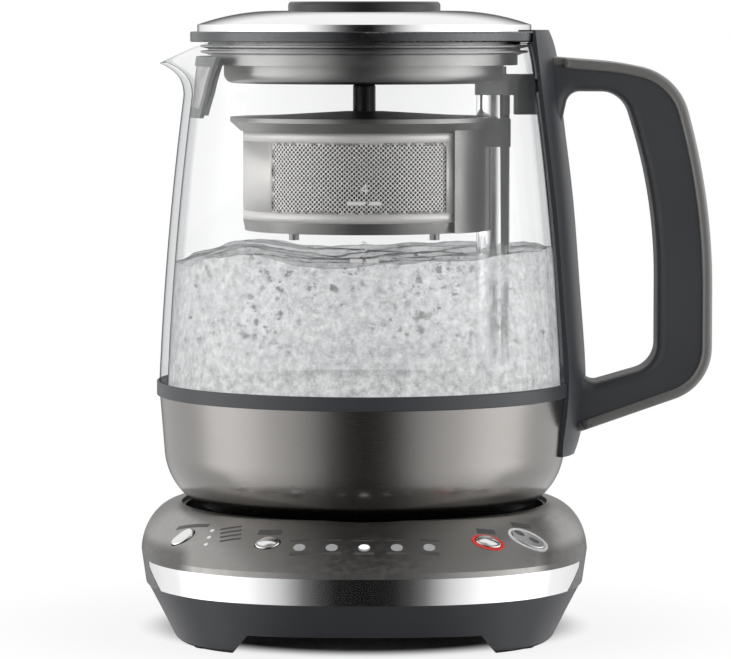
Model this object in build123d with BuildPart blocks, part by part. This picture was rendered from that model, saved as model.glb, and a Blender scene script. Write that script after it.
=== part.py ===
from build123d import *
import os
from functools import cache
from math import copysign, cos, pi, radians, sin, sqrt, tan

# Automatic tea maker: a glass jug whose tea basket rides up and down a chrome post, on a heated base.
# Millimetres. The origin is on the jug's axis at the table, +X to the handle, -Y to the control panel.
# Heights build up from the table and widths build out from the jug, each by its own named step.

# ---- Clearances
seat_gap = 0.3  # a piece that lifts off stands this far above its seat
running_gap = 0.35  # all round a piece that slides or turns past another
shaft_gap = 0.05  # radial, a shaft in its bush
fit_gap = 0.05  # between pieces fixed to each other, where one goes into the other
screw_gap = 0.3  # radial, a screw in the hole it passes through
cut_past = 1.0  # how far a cut runs on past a face
cut_reach = 20.0  # how far a cut runs on past the whole part

# ---- Widths of the jug, and of the base that it stands in
glass_bottom_radius = 75.6
glass_top_radius = 63.5
glass_shoulder_flare = 2.7  # the shoulder is this much wider than the rim
glass_shoulder_radius = glass_top_radius + glass_shoulder_flare
bowl_top_inset = 0.3
bowl_top_radius = glass_bottom_radius - bowl_top_inset
bowl_waist_inset = 1.6
bowl_waist_radius = bowl_top_radius - bowl_waist_inset
bowl_turn_inset = 3.3
bowl_turn_radius = bowl_waist_radius - bowl_turn_inset
bowl_bottom_inset = 9.4
bowl_bottom_radius = bowl_turn_radius - bowl_bottom_inset
well_margin = 6.4  # round the underside of the jug's bowl
well_radius = bowl_bottom_radius + well_margin
base_side_margin = 14.1
base_half_width = well_radius + base_side_margin
base_front_margin = 28.6
base_front = well_radius + base_front_margin
base_back_margin = 10.6
base_back = well_radius + base_back_margin

# ---- Base: one smooth outline, square-cornered like a soap bar
base_squareness = 2.5
foot_squareness = 3.2
foot_inset = 13.0
foot_inset_front = 8.0
outline_points = 32
housing_wall = 2.2
housing_floor = 2.0
housing_edge = 3.0
arch_height = 8.0
arch_inset = 40.5
arch_half_width = base_half_width - arch_inset
arch_flare = 6.0
side_arch_front_inset = 52.0
side_arch_front = side_arch_front_inset - base_front
side_arch_back_inset = 56.0
side_arch_back = base_back - side_arch_back_inset
pad_radius = 6.5
pad_thickness = 2.0
pad_proud = 0.8
pad_inset = 27.5
pad_x = base_half_width - pad_inset
pad_front_inset = 39.0
pad_front_y = pad_front_inset - base_front
pad_back_inset = 43.0
pad_back_y = base_back - pad_back_inset
skirt_height = 19.8  # where the metal deck's skirt meets the plastic housing
skirt_draft = 1.7
skirt_step = 0.4
skirt_depth = 11.4
lip_height = skirt_height + skirt_depth
shoulder_height = 15.0
deck_height = lip_height + shoulder_height
deck_wall = 1.8
panel_slope = 26.9
shoulder_steps = 6
strip_height = 9.3
strip_thickness = 1.0
strip_end_inset = 53.0  # how far back the bright strip's upper edge ends, and how its ends lean
strip_end_y = strip_end_inset - base_front
strip_end_lean = 55.2
strip_end_gap = 0.7
plate_margin = 3.0  # between the service plate and the arch's sides
plate_half_x = arch_half_width - plate_margin
plate_front_inset = 34.0
plate_front_y = plate_front_inset - base_front
plate_back_inset = 34.0
plate_back_y = base_back - plate_back_inset
plate_ledge = 3.0
plate_thickness = 1.6
base_screw_inset = 5.0  # from the service plate's edges
base_screw_x = plate_half_x - base_screw_inset
screw_radius = 1.5
screw_head_radius = 2.8
screw_head_height = 1.4
screw_length = 7.0
cap_screw_length = 10.0
boss_radius = 3.6

# ---- Well in the deck, the turning connector and the electronics
well_depth = 7.7
well_floor = deck_height - well_depth
well_wall = 1.4
well_floor_thickness = 1.5
well_rim_drop = 1.4
hub_radius = 17.5
hub_height = 12.0
hub_top = well_floor + hub_height
hub_flange_radius = 22.0
hub_flange_thickness = 2.0
pin_hole_radius = 3.4
slot_inner_radius = 7.5
slot_outer_radius = 10.5
slot_depth = 10.0
hub_edge = 1.0
contact_drop = 2.0  # the contacts end this far inside the hub's holes
contact_wall = 0.5
board_thickness = 1.6
board_stand = 8.0  # over the underside of the arch
board_height = arch_height + board_stand
board_inset = 4.0
board_half_x = plate_half_x - board_inset
board_back_y = plate_back_y - board_inset
board_length = 70.0
board_front_y = board_back_y - board_length
relay_size = (19.0, 15.0, 13.0)
transformer_size = (24.0, 20.0, 14.0)
relay_at = (16.0, board_back_y - 18.0)
transformer_at = (-12.0, board_back_y - 20.0)
gland_rise = 6.4  # over the skirt's lower edge
gland_height = skirt_height + gland_rise
gland_radius = 4.8
gland_flange_radius = 6.0
gland_flange_thickness = 1.4
gland_flange_root = 5.0  # how deep the flange is drawn before the skirt is cut from it
gland_length = 12.0
gland_edge = 0.5
cord_hole_radius = 3.3

# ---- Control panel
button_thickness = 3.0
button_proud = 0.5
button_travel = 0.8
button_edge = 0.4
stem_length = 1.5
stem_overlap = 0.5
button_gap = 0.3
stem_radius = 1.6
switch_size = (6.0, 6.0, 3.0)
carrier_radius = 3.2
strength_button_at = (16.9 - base_half_width, 39.5 - base_front)
strength_button_radii = (4.6, 3.4)
kind_button_at = (-34.0, 20.0 - base_front)
kind_button_radii = (4.4, 3.4)
warm_button_at = (43.7, 23.5 - base_front)
warm_button_radii = (4.6, 3.1)
start_button_at = (base_half_width - 23.4, 32.7 - base_front)
start_button_radii = (6.3, 4.2)
ring_width = 1.1
ring_depth = 0.9
ring_proud = 0.15
light_radius = 2.1
light_depth = 2.6
light_proud = 0.1
temperature_light_insets = (15.7, 14.7, 14.3, 14.7, 15.7)  # behind the deck's front edge
temperature_light_pitch = 11.4
strength_light_radius = 0.8
strength_light_from = (27.5 - base_half_width, 35.5 - base_front)
strength_light_to = (25.5 - base_half_width, 28.5 - base_front)
strength_light_count = 3

# ---- Jug base
jug_foot_height = 6.6
bowl_bottom = well_floor + seat_gap + jug_foot_height
bowl_wall = 1.0
bowl_turn_rise = 9.0
bowl_turn = bowl_bottom + bowl_turn_rise
bowl_waist_rise = 20.6
bowl_waist = bowl_bottom + bowl_waist_rise
bowl_height = 40.4
bowl_top = bowl_bottom + bowl_height
floor_seal_thickness = 2.2
glass_bottom = bowl_top + floor_seal_thickness
band_lap = 2.9  # how far the band covers the glass
band_top = glass_bottom + band_lap
band_thickness = 0.75
band_edge = 0.3
floor_drop = 7.6
floor_height = bowl_top - floor_drop
floor_thickness = 1.2
floor_inset = 3.3
floor_radius = bowl_top_radius - floor_inset
floor_flange = 1.0
cap_thickness = 2.2
cap_ring_inset = 6.0
cap_ring_radius = bowl_bottom_radius - cap_ring_inset
cap_ring_width = 4.0
coupler_radius = 24.0
coupler_height = 17.5
coupler_top = well_floor + coupler_height
coupler_flange = 3.0
coupler_flange_thickness = 1.5
coupler_pin_radius = 2.5
coupler_bottom_gap = 0.6
heater_radius = 27.0
heater_tube_radius = 3.2
heater_angle = 300.0
heater_end_radius = 2.2
heater_end_length = 10.0
spreader_radius = 34.0
spreader_hole_radius = 6.0
spreader_thickness = 1.6
sensor_radius = 2.4
sensor_drop = 2.0
sensor_top = glass_bottom - sensor_drop
sensor_length = 20.0
sensor_bottom = sensor_top - sensor_length
sensor_edge = 1.2
sensor_flange_radius = 5.0
sensor_flange_thickness = 1.5
cap_screw_count = 3
cap_screw_inset = 7.0
cap_screw_radius_at = cap_ring_radius - cap_screw_inset
jug_board_size = (30.0, 18.0)
jug_board_at = (-44.0, 12.0)
jug_board_rise = 9.6
jug_board_height = bowl_bottom + jug_board_rise
jug_board_chip = (14.0, 9.0, 5.0)
jug_board_post_inset = 4.0
jug_board_post_radius = 2.4

# ---- Glass
glass_wall = 3.0
glass_height = 108.0  # up to the shoulder
glass_shoulder = glass_bottom + glass_height
glass_bulge = 1.2
glass_neck = 18.7  # from the shoulder up to the rim
glass_top = glass_shoulder + glass_neck
glass_neck_bulge = 0.5
spout_length = 12.9
spout_reach = glass_top_radius + spout_length
spout_drop = 6.3  # the lip stands this far below the glass rim
spout_lip_height = glass_top - spout_drop
spout_rise = 14.9
spout_start_height = spout_lip_height - spout_rise
spout_half_width = 21.0
spout_tip_radius = 2.6
spout_root_inset = 13.5  # the spout's sides start this far inside the rim
spout_root_x = glass_top_radius - spout_root_inset
spout_wall = 2.2
spout_root_depth = 1.5
spout_levels = ((0.0, 0.0, 0.35), (0.3, 0.14, 0.62), (0.65, 0.52, 0.84), (1.0, 1.0, 1.0), (1.42, 1.46, 1.1))

# ---- Post and basket drive
post_inset = 16.2  # from the glass rim
post_x = glass_top_radius - post_inset
post_radius = 6.15
post_wall = 0.8
post_drop = 9.2
post_bottom = floor_height - post_drop
bracket_reach = 6.7  # from the post's axis inwards
bracket_inner_x = post_x - bracket_reach
bracket_half_width = 7.0
bracket_drop = 11.5  # below the glass rim
bracket_top = glass_top - bracket_drop
bracket_thickness = 7.6
bracket_bottom = bracket_top - bracket_thickness
bracket_corner = 4.0
post_seat = 0.4  # how far the post goes into the bracket
post_top = bracket_bottom + post_seat
wall_block_height = 7.1
wall_block_bottom = bracket_bottom - wall_block_height
wall_block_depth = 8.5
wall_block_x = glass_top_radius - wall_block_depth
stud_radius = 2.4
stud_rise = 3.4
stud_height = bracket_bottom + stud_rise
stud_depth = 4.0
stud_gap = 0.2  # radial, the stud in the glass
post_cap_half_length = 4.7
post_cap_half_width = 4.5
post_cap_height = 2.8
post_cap_corner = 1.0
screw_rod_radius = 1.5
screw_rod_drop = 3.0  # below the post's top
screw_rod_top = post_top - screw_rod_drop
screw_rod_edge = 0.4
bearing_height = 3.0
bearing_drop = 0.5
motor_radius = 10.0
motor_drop = 13.7
motor_top = floor_height - motor_drop
motor_length = 15.5
motor_bottom = motor_top - motor_length
motor_shaft_radius = 1.0
motor_shaft_depth = 6.0
motor_edge = 0.8
coupling_radius = 4.0
coupling_rise = 5.5
coupling_bottom = motor_top + coupling_rise
coupling_length = 5.0
coupling_top = coupling_bottom + coupling_length
coupling_edge = 0.5
mount_thickness = 1.8
mount_radius = 13.0
mount_pillar_radius = 2.0
mount_pillar_inset = 3.0
nut_half_height = 5.0
nut_magnet_share = 0.6
nut_step = 0.3

# ---- Tea basket
rim_overlap = 1.9  # how far the rim reaches beyond the post's axis
rim_radius = post_x + rim_overlap
rim_drop = 8.0  # below the bracket
rim_top = bracket_bottom - rim_drop
rim_edge = 1.6
rim_height = 5.0
rim_bottom = rim_top - rim_height
rim_width = 5.8
rim_overhang = 0.9
basket_inset = 4.7
basket_radius = rim_radius - basket_inset
basket_sheet = 0.5
basket_foot_inset = 0.7
basket_foot_radius = basket_radius - basket_foot_inset
basket_depth = 41.4
basket_bottom = rim_top - basket_depth
basket_ring_height = 4.0
basket_ring_top = basket_bottom + basket_ring_height
basket_ring_width = 3.6
basket_flat_inset = 14.7  # from the post's axis
basket_flat_x = post_x - basket_flat_inset
back_block_width = 1.7
back_block_radius = basket_radius + back_block_width
back_block_lap = 0.8  # how far the block runs up into the rim
back_block_top = rim_bottom + back_block_lap
bump_radius = 1.8
bump_height = 2.2
bump_angle = 53.0
floor_hole_radius = 3.0
floor_hole_count = 6
basket_floor_rise = 1.5
collar_drop = 0.6  # below the rim's top
collar_top = rim_top - collar_drop
collar_height = 10.2
collar_bottom = collar_top - collar_height
collar_half_width = 10.6
collar_inner_reach = 9.3  # from the post's axis towards the jug's
collar_inner_x = post_x - collar_inner_reach
collar_outer_reach = 6.1  # and towards the handle
collar_outer_x = post_x + collar_outer_reach
magnet_size = (6.0, 1.8, 7.0)
basket_lid_gap = 0.6
basket_lid_radius = rim_radius - rim_width - basket_lid_gap
basket_lid_rise = 2.0
basket_lid_thickness = 1.6
stem_half_width = 4.15
stem_edge = 0.8
basket_lid_ledge = 4.0
sensor_at = (-13.0, basket_radius + 4.0)

# ---- Lid
lid_rim_overhang = 0.3  # beyond the glass rim
lid_rim_radius = glass_top_radius + lid_rim_overhang
lid_rim_thickness = 3.8
lid_rim_width = 17.8
lid_rim_inner_radius = lid_rim_radius - lid_rim_width
lid_rim_edge = 0.6
plate_inset = 2.6  # from the lid ring's edge
plate_radius = lid_rim_radius - plate_inset
plate_low = glass_top + seat_gap + lid_rim_thickness
plate_rise = 7.5
plate_top = plate_low + plate_rise
plate_edge = 2.5
plate_dome_inset = 16.2
plate_dome_radius = plate_radius - plate_dome_inset
plate_dome_share = 0.88  # how much of its rise the plate has where it bends
plate_sheet = 0.8
knob_radius = 27.9
knob_margin = 1.0  # the flat round the knob
knob_sink = 0.4  # the knob is let into the plate
knob_seat = plate_top - knob_sink
knob_height = 3.8
knob_top = knob_seat + knob_height
knob_edge = 1.4
knob_screw_depth = 2.4
lip_gap = 0.5  # between the seal's lips and the glass
lip_radius = glass_top_radius - glass_wall - lip_gap
lip_length = 2.8
seal_radius = lip_radius - lip_length
seal_width = 4.2
seal_inner_radius = seal_radius - seal_width
lip_thickness = 0.9
lip_rises = (0.9, 2.9)  # over the plug's flange
lip_root = 1.0
lip_taper = 0.7
plug_flange_inset = 1.0
plug_flange_radius = seal_radius - plug_flange_inset
plug_flange_width = 4.7
plug_radius = plug_flange_radius - plug_flange_width
plug_drop = 4.4  # its flange lies this far below the glass rim
plug_flange_top = glass_top - plug_drop
plug_flange_thickness = 3.7
plug_flange_bottom = plug_flange_top - plug_flange_thickness
plug_height = 6.6
plug_bottom = plug_flange_bottom - plug_height
plug_wall = 2.0
plug_edge = 3.5
plug_notch_gap = 1.0
knob_screw_radius = 2.0
knob_screw_head = 2.0
knob_screw_end = 0.2

# ---- Handle
spine_half_width = 20.0
spine_steps = 4
spine_depth = 6.0
spine_edge = 1.6
spine_drop = 2.0  # below the bowl's waist
spine_bottom = bowl_waist - spine_drop
spine_rise = 4.7  # over the glass rim
spine_top = glass_top + spine_rise
spine_end_depth = 4.0
spine_end_run = 10.0
spine_root = 2.0
grip_half_width = 11.5
grip_edge = 4.0
cover_thickness = 3.2
cover_step = 1.0
cover_edge = 1.6
handle_length = 51.8
handle_reach = glass_bottom_radius + handle_length
handle_root_inset = 1.5  # the handle's outline starts this far inside the glass rim
handle_root_x = glass_top_radius - handle_root_inset
handle_root_drop = 4.4
handle_crest_inset = 35.4
handle_crest_drop = 6.8
handle_shoulder_inset = 12.7
handle_shoulder_drop = 11.3
handle_back_drop = 58.7
handle_heel_rise = 1.1
handle_root_rise = 2.3
handle_corners = (
    (handle_root_x, glass_top - handle_root_drop),
    (handle_reach - handle_crest_inset, glass_top - handle_crest_drop),
    (handle_reach - handle_shoulder_inset, glass_top - handle_shoulder_drop),
    (handle_reach, glass_top - handle_back_drop),
    (handle_reach, glass_bottom + handle_heel_rise),
    (handle_root_x, spine_bottom + handle_root_rise),
)
crest_radius = 80.0
shoulder_radius = 23.0
back_radius = 240.0
heel_radius = 20.0
handle_corner_radii = [crest_radius, shoulder_radius, back_radius, heel_radius]
grip_depth = 20.4  # from the handle's outside to the fingers
grip_crest_depth = 32.8
finger_top_gap = 11.1
finger_top_drop = 17.7
finger_crest_drop = 17.8
finger_front_drop = 56.9
finger_heel_rise = 9.0
finger_foot_gap = 7.9
finger_foot_rise = 2.2
finger_back_gap = 7.0
finger_back_drop = 36.7
finger_root_gap = 2.45  # outside the middle of the glass's two radii
finger_root_rise = 12.0
finger_corners = (
    (glass_top_radius + finger_back_gap, glass_top - finger_back_drop),
    (glass_top_radius + finger_top_gap, glass_top - finger_top_drop),
    (handle_reach - grip_crest_depth, glass_top - finger_crest_drop),
    (handle_reach - grip_depth, glass_top - finger_front_drop),
    (handle_reach - grip_depth, glass_bottom + finger_heel_rise),
    (glass_bottom_radius + finger_foot_gap, glass_bottom + finger_foot_rise),
    ((glass_top_radius + glass_bottom_radius) / 2 + finger_root_gap, glass_bottom + finger_root_rise),
)
finger_corner_radius = 5.0
finger_crest_radius = 11.0
finger_front_radius = 190.0
finger_heel_radius = 10.0
finger_corner_radii = [
    finger_corner_radius,
    finger_corner_radius,
    finger_crest_radius,
    finger_front_radius,
    finger_heel_radius,
    finger_corner_radius,
    finger_corner_radius,
]
filter_half_angle = 27.0
filter_thickness = 1.4
filter_drop = 4.9  # below the glass rim
filter_top = glass_top - filter_drop
filter_height = 22.3
filter_bottom = filter_top - filter_height
filter_window_margin = 3.5
filter_low_share = 0.62
filter_high_share = 0.8
filter_cloth = 0.3

os.makedirs("parts", exist_ok=True)


def save(piece, name):
    """Label a finished piece and write it."""
    piece.part.label = name
    export_step(piece.part, f"parts/{name}.step")


# ---- Shared shapes


def turned(*corners):
    """A solid of revolution about the jug's axis from corners given as (radius, height)."""
    with BuildPart() as body:
        with BuildSketch(Plane.XZ):
            with BuildLine():
                Polyline(*corners, close=True)
            make_face()
        revolve(axis=Axis.Z)
    return body.part


def ring(outer, inner, bottom, top):
    """A plain ring about the jug's axis."""
    return turned((inner, bottom), (outer, bottom), (outer, top), (inner, top))


def disc(radius, bottom, top):
    """A plain disc on the jug's axis."""
    return ring(radius, 0, bottom, top)


def upright(x, y, radius, bottom, top):
    """A vertical cylinder anywhere."""
    with BuildPart(Plane.XY.offset(bottom)) as body:
        with Locations((x, y)):
            Cylinder(radius, top - bottom, align=(Align.CENTER, Align.CENTER, Align.MIN))
    return body.part


def block(low, high):
    """A box between two corners."""
    size = [b - a for a, b in zip(low, high)]
    with BuildPart() as body:
        with Locations(low):
            Box(*size, align=(Align.MIN, Align.MIN, Align.MIN))
    return body.part


def outline(half_width, front, back, squareness):
    """The base's smooth closed outline, as a flat sketch."""
    middle = (back - front) / 2
    half_depth = (back + front) / 2
    points = []
    for i in range(outline_points):
        turn = 2 * pi * i / outline_points
        across = copysign(abs(cos(turn)) ** (2 / squareness), cos(turn))
        along = copysign(abs(sin(turn)) ** (2 / squareness), sin(turn))
        points.append((half_width * across, middle + half_depth * along))
    with BuildSketch() as flat:
        with BuildLine():
            Spline(*points, periodic=True)
        make_face()
    return flat.sketch


def stacked(levels, ruled=False):
    """A solid through outlines given as (height, half width, front, back, squareness)."""
    with BuildPart() as body:
        for height, half_width, front, back, squareness in levels:
            with BuildSketch(Plane.XY.offset(height)):
                add(outline(half_width, front, back, squareness))
        loft(ruled=ruled)
    return body.part


# ---- Base outlines by height


def skirt_level(height, inset=0.0):
    """The deck's upright skirt: it narrows a little towards the housing."""
    draft = skirt_draft * (lip_height - height) / (lip_height - skirt_height)
    side = inset + draft
    return height, base_half_width - side, base_front - inset, base_back - side, base_squareness


def deck_levels(inset=0.0):
    """The deck above its lip: round shoulders at the sides and back, a straight slope in front."""
    shoulder = deck_height - lip_height
    levels = []
    for i in range(shoulder_steps + 1):
        turn = pi / 2 * i / shoulder_steps
        side = inset + shoulder * (1 - cos(turn))
        rise = shoulder * sin(turn)
        front = base_front - inset / sin(radians(panel_slope)) - rise / tan(radians(panel_slope))
        height = lip_height + rise
        levels.append((height, base_half_width - side, front, base_back - side, base_squareness))
    return levels


def deck_body(inset=0.0):
    """The whole deck as a solid, shrunk by an inset for its inside."""
    drop = inset / cos(radians(panel_slope)) if inset else 0.0
    levels = [(height - drop, *rest) for height, *rest in deck_levels(inset)]
    lip = levels[0]
    foot = skirt_level(skirt_height, inset)
    with BuildPart() as body:
        add(stacked([foot, lip], ruled=True))
        add(stacked(levels))
    return body.part


def strip_wedge(gap=0.0):
    """The space in front of the bright strip's leaning ends."""
    top = skirt_height + strip_height
    low = skirt_height - cut_past
    run = (top - low) * tan(radians(strip_end_lean))
    far = -base_front - cut_reach
    with BuildPart() as body:
        with BuildSketch(Plane.YZ):
            with BuildLine():
                Polyline(
                    (far, low),
                    (strip_end_y - run + gap, low),
                    (strip_end_y + gap, top),
                    (far, top),
                    close=True,
                )
            make_face()
        extrude(amount=base_half_width + cut_reach, both=True)
    return body.part


def jug_radius(height):
    """Outside radius of the jug at a height, glass above and bowl below."""
    if height >= glass_shoulder:
        part = min((height - glass_shoulder) / (glass_top - glass_shoulder), 1)
        straight = glass_shoulder_radius + (glass_top_radius - glass_shoulder_radius) * part
        return straight + 4 * glass_neck_bulge * part * (1 - part)
    if height >= glass_bottom:
        part = (height - glass_bottom) / (glass_shoulder - glass_bottom)
        straight = glass_bottom_radius + (glass_shoulder_radius - glass_bottom_radius) * part
        return straight + 4 * glass_bulge * part * (1 - part)
    part = (height - bowl_waist) / (bowl_top - bowl_waist)
    return bowl_waist_radius + (bowl_top_radius - bowl_waist_radius) * min(max(part, -0.2), 1)


def glass_solid(inset, top=glass_top):
    """The glass jug without its spout, as a solid shrunk by an inset and cut off at a height."""
    middle = (glass_bottom + glass_shoulder) / 2
    neck = (glass_shoulder + glass_top) / 2
    with BuildPart() as body:
        with BuildSketch(Plane.XZ):
            with BuildLine():
                low = (jug_radius(glass_bottom) - inset, glass_bottom)
                shoulder = (jug_radius(glass_shoulder) - inset, glass_shoulder)
                high = (jug_radius(glass_top) - inset, glass_top)
                ThreePointArc(low, (jug_radius(middle) - inset, middle), shoulder)
                ThreePointArc(shoulder, (jug_radius(neck) - inset, neck), high)
                if top > glass_top:
                    Line(high, (high[0], top))
                Polyline((high[0], top), (0, top), (0, glass_bottom), low)
            make_face()
        revolve(axis=Axis.Z)
    return body.part


def spout_section(tip, half_width):
    """One level of the spout: a rounded wedge from the jug's axis side to the tip."""
    with BuildSketch() as flat:
        with BuildLine():
            Polyline(
                (-spout_root_x, -half_width), (-tip, 0), (-spout_root_x, half_width), close=True
            )
        make_face()
        fillet(flat.vertices().sort_by(Axis.X)[0], spout_tip_radius)
    return flat.sketch


def spout_solid(inset):
    """The pouring lip as a solid, shrunk by an inset, through shares of its rise, reach and width."""
    rise = spout_lip_height - spout_start_height
    root = jug_radius(spout_start_height) - spout_root_depth
    reach = spout_reach - root
    with BuildPart() as body:
        for up, out, wide in spout_levels:
            with BuildSketch(Plane.XY.offset(spout_start_height + rise * up)):
                add(spout_section(root + reach * out - inset, spout_half_width * wide - inset))
        loft(ruled=True)
    return body.part


def above_spout():
    """What is cut away over the spout, so that its edge falls from the jug's rim to the lip."""
    rim_x = glass_wall / 2 - jug_radius(glass_top)
    high = glass_top + cut_reach
    fall = (glass_top - spout_lip_height) / (spout_reach + rim_x)
    far = spout_reach + cut_reach
    with BuildPart() as body:
        with BuildSketch(Plane.XZ):
            with BuildLine():
                Polyline(
                    (rim_x, glass_top),
                    (-far, glass_top - fall * (far + rim_x)),
                    (-far, high),
                    (rim_x, high),
                    close=True,
                )
            make_face()
        extrude(amount=spout_half_width * 3, both=True)
    return body.part


# ---- Base


def build_housing():
    top = skirt_level(skirt_height, skirt_step)
    foot = (
        pad_proud,
        base_half_width - foot_inset,
        base_front - foot_inset_front,
        base_back - foot_inset,
        foot_squareness,
    )
    inner_low = arch_height + housing_floor
    part = (inner_low - pad_proud) / (skirt_height - pad_proud)
    mix = [a + (b - a) * part for a, b in zip(foot, top)]
    inner = (inner_low, *[side - housing_wall for side in mix[1:4]], mix[4])
    inner_top = (skirt_height, *[side - housing_wall for side in top[1:4]], top[4])
    far = base_front + cut_reach
    with BuildPart() as housing:
        add(stacked([foot, top], ruled=True))
        fillet(housing.faces().sort_by(Axis.Z)[0].edges(), housing_edge)
        add(stacked([inner, inner_top], ruled=True), mode=Mode.SUBTRACT)
        with BuildSketch(Plane.XZ):
            with BuildLine():
                wide = arch_half_width + arch_flare
                Polyline(
                    (-wide, 0),
                    (-arch_half_width, arch_height),
                    (arch_half_width, arch_height),
                    (wide, 0),
                    close=True,
                )
            make_face()
        extrude(amount=far, both=True, mode=Mode.SUBTRACT)
        with BuildSketch(Plane.YZ):
            with BuildLine():
                Polyline(
                    (side_arch_front - arch_flare / 2, 0),
                    (side_arch_front + arch_flare / 2, arch_height / 2),
                    (side_arch_back - arch_flare / 2, arch_height / 2),
                    (side_arch_back + arch_flare / 2, 0),
                    close=True,
                )
            make_face()
        extrude(amount=far, both=True, mode=Mode.SUBTRACT)
        open_x = plate_half_x - plate_ledge
        add(
            block(
                (-open_x, plate_front_y + plate_ledge, arch_height - cut_past),
                (open_x, plate_back_y - plate_ledge, inner_low + cut_past),
            ),
            mode=Mode.SUBTRACT,
        )
        add(
            block(
                (-plate_half_x - fit_gap, plate_front_y - fit_gap, arch_height - cut_past),
                (plate_half_x + fit_gap, plate_back_y + fit_gap, arch_height + plate_thickness),
            ),
            mode=Mode.SUBTRACT,
        )
        for x, y in base_screw_places():
            add(upright(x, y, boss_radius, arch_height + plate_thickness, board_height))
            add(upright(x, y, screw_radius, arch_height, board_height + cut_past), mode=Mode.SUBTRACT)
        for x, y in pad_places():
            add(upright(x, y, pad_radius + fit_gap, 0, pad_thickness), mode=Mode.SUBTRACT)
        add(gland_hole(), mode=Mode.SUBTRACT)
    return housing


def base_screw_places():
    inset = plate_half_x - base_screw_x
    return [
        (x, y) for x in (-base_screw_x, base_screw_x) for y in (plate_front_y + inset, plate_back_y - inset)
    ]


def pad_places():
    return [(x, y) for x in (-pad_x, pad_x) for y in (pad_front_y, pad_back_y)]


def gland_plane(y):
    """A plane facing backwards at a depth, centred on the cord's entry."""
    return Plane((0, y, gland_height), x_dir=(1, 0, 0), z_dir=(0, 1, 0))


def gland_rod(radius, low, high):
    """A rod along the cord's way in, between two depths."""
    with BuildPart() as rod:
        with BuildSketch(gland_plane(low)):
            Circle(radius)
        extrude(amount=high - low)
    return rod.part


def gland_hole():
    return gland_rod(gland_radius + fit_gap, base_back - cut_reach, base_back + cut_reach)


def build_gland():
    """The bush where the supply cord enters, its flange lying against the deck's skirt."""
    end = base_back + gland_flange_thickness
    with BuildPart() as gland:
        add(gland_rod(gland_flange_radius, base_back - gland_flange_root, end))
        chamfer(gland.faces().sort_by(Axis.Y)[-1].edges(), gland_edge)
        add(deck_body(), mode=Mode.SUBTRACT)
        add(gland_rod(gland_radius, base_back - gland_length, end))
        low = base_back - gland_length - cut_past
        add(gland_rod(cord_hole_radius, low, end + cut_past), mode=Mode.SUBTRACT)
    return gland


def build_deck():
    through = deck_wall * 4
    with BuildPart() as deck:
        add(deck_body())
        add(deck_body(deck_wall), mode=Mode.SUBTRACT)
        add(disc(well_radius, lip_height, deck_height + cut_past), mode=Mode.SUBTRACT)
        add(strip_solid(strip_end_gap), mode=Mode.SUBTRACT)
        add(gland_hole(), mode=Mode.SUBTRACT)
        for centre, radii in button_list():
            add(panel_oval(centre, radii, button_gap, -through, through), mode=Mode.SUBTRACT)
        for centre, radii in ring_list():
            margin = button_gap + ring_width
            add(panel_oval(centre, radii, margin, -ring_depth, through), mode=Mode.SUBTRACT)
        for x, y in temperature_light_places():
            add(panel_disc((x, y), light_radius + fit_gap, -through, through), mode=Mode.SUBTRACT)
        for x, y in strength_light_places():
            add(panel_disc((x, y), strength_light_radius + fit_gap, -through, through), mode=Mode.SUBTRACT)
    return deck


def strip_solid(end_gap=0.0):
    """The bright strip that wraps round the front; with a gap it is the groove that holds it."""
    top = skirt_height + strip_height
    outside = [skirt_level(skirt_height), skirt_level(top)]
    inside = [skirt_level(skirt_height, strip_thickness), skirt_level(top, strip_thickness)]
    with BuildPart() as strip:
        add(stacked(outside, ruled=True))
        add(stacked(inside, ruled=True), mode=Mode.SUBTRACT)
        add(strip_wedge(end_gap), mode=Mode.INTERSECT)
    return strip.part


def build_strip():
    with BuildPart() as strip:
        add(strip_solid())
    return strip


# ---- Control panel: planes that lie on the deck


deck_skin = deck_body()


@cache
def panel_plane(centre):
    """The plane that touches the deck over a point, its x axis level."""
    line = Axis((*centre, 0), (0, 0, 1))
    hits = [hit for face in deck_skin.faces() for hit in face.find_intersection_points(line)]
    point, normal = max(hits, key=lambda hit: hit[0].Z)
    return Plane(point, x_dir=Vector(0, 1, 0).cross(normal), z_dir=normal)


def panel_oval(centre, radii, margin, low, high):
    """An upright oval on the panel, between two heights over the deck's surface."""
    with BuildPart() as body:
        with BuildSketch(panel_plane(centre).offset(low)):
            Ellipse(radii[0] + margin, radii[1] + margin)
        extrude(amount=high - low)
    return body.part


def panel_disc(centre, radius, low, high):
    """An upright disc on the panel, between two heights over the deck's surface."""
    with BuildPart() as body:
        with BuildSketch(panel_plane(centre).offset(low)):
            Circle(radius)
        extrude(amount=high - low)
    return body.part


def button_list():
    return [
        (strength_button_at, strength_button_radii),
        (kind_button_at, kind_button_radii),
        (warm_button_at, warm_button_radii),
        (start_button_at, start_button_radii),
    ]


def ring_list():
    return [(warm_button_at, warm_button_radii), (start_button_at, start_button_radii)]


def temperature_light_places():
    middle = (len(temperature_light_insets) - 1) / 2
    return [
        ((i - middle) * temperature_light_pitch, inset - base_front)
        for i, inset in enumerate(temperature_light_insets)
    ]


def strength_light_places():
    last = strength_light_count - 1
    return [
        tuple(a + (b - a) * i / last for a, b in zip(strength_light_from, strength_light_to))
        for i in range(strength_light_count)
    ]


def build_button(centre, radii):
    """A push button: an oval cap and the stem that reaches its switch."""
    with BuildPart() as button:
        add(panel_oval(centre, radii, 0, -button_thickness, button_proud))
        fillet(button.faces().sort_by(Axis.Z)[-1].edges(), button_edge)
        low = -button_thickness - stem_length
        add(panel_disc(centre, stem_radius, low, -button_thickness + stem_overlap))
    return button


def switch_top():
    return -button_thickness - stem_length - button_travel - seat_gap


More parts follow.
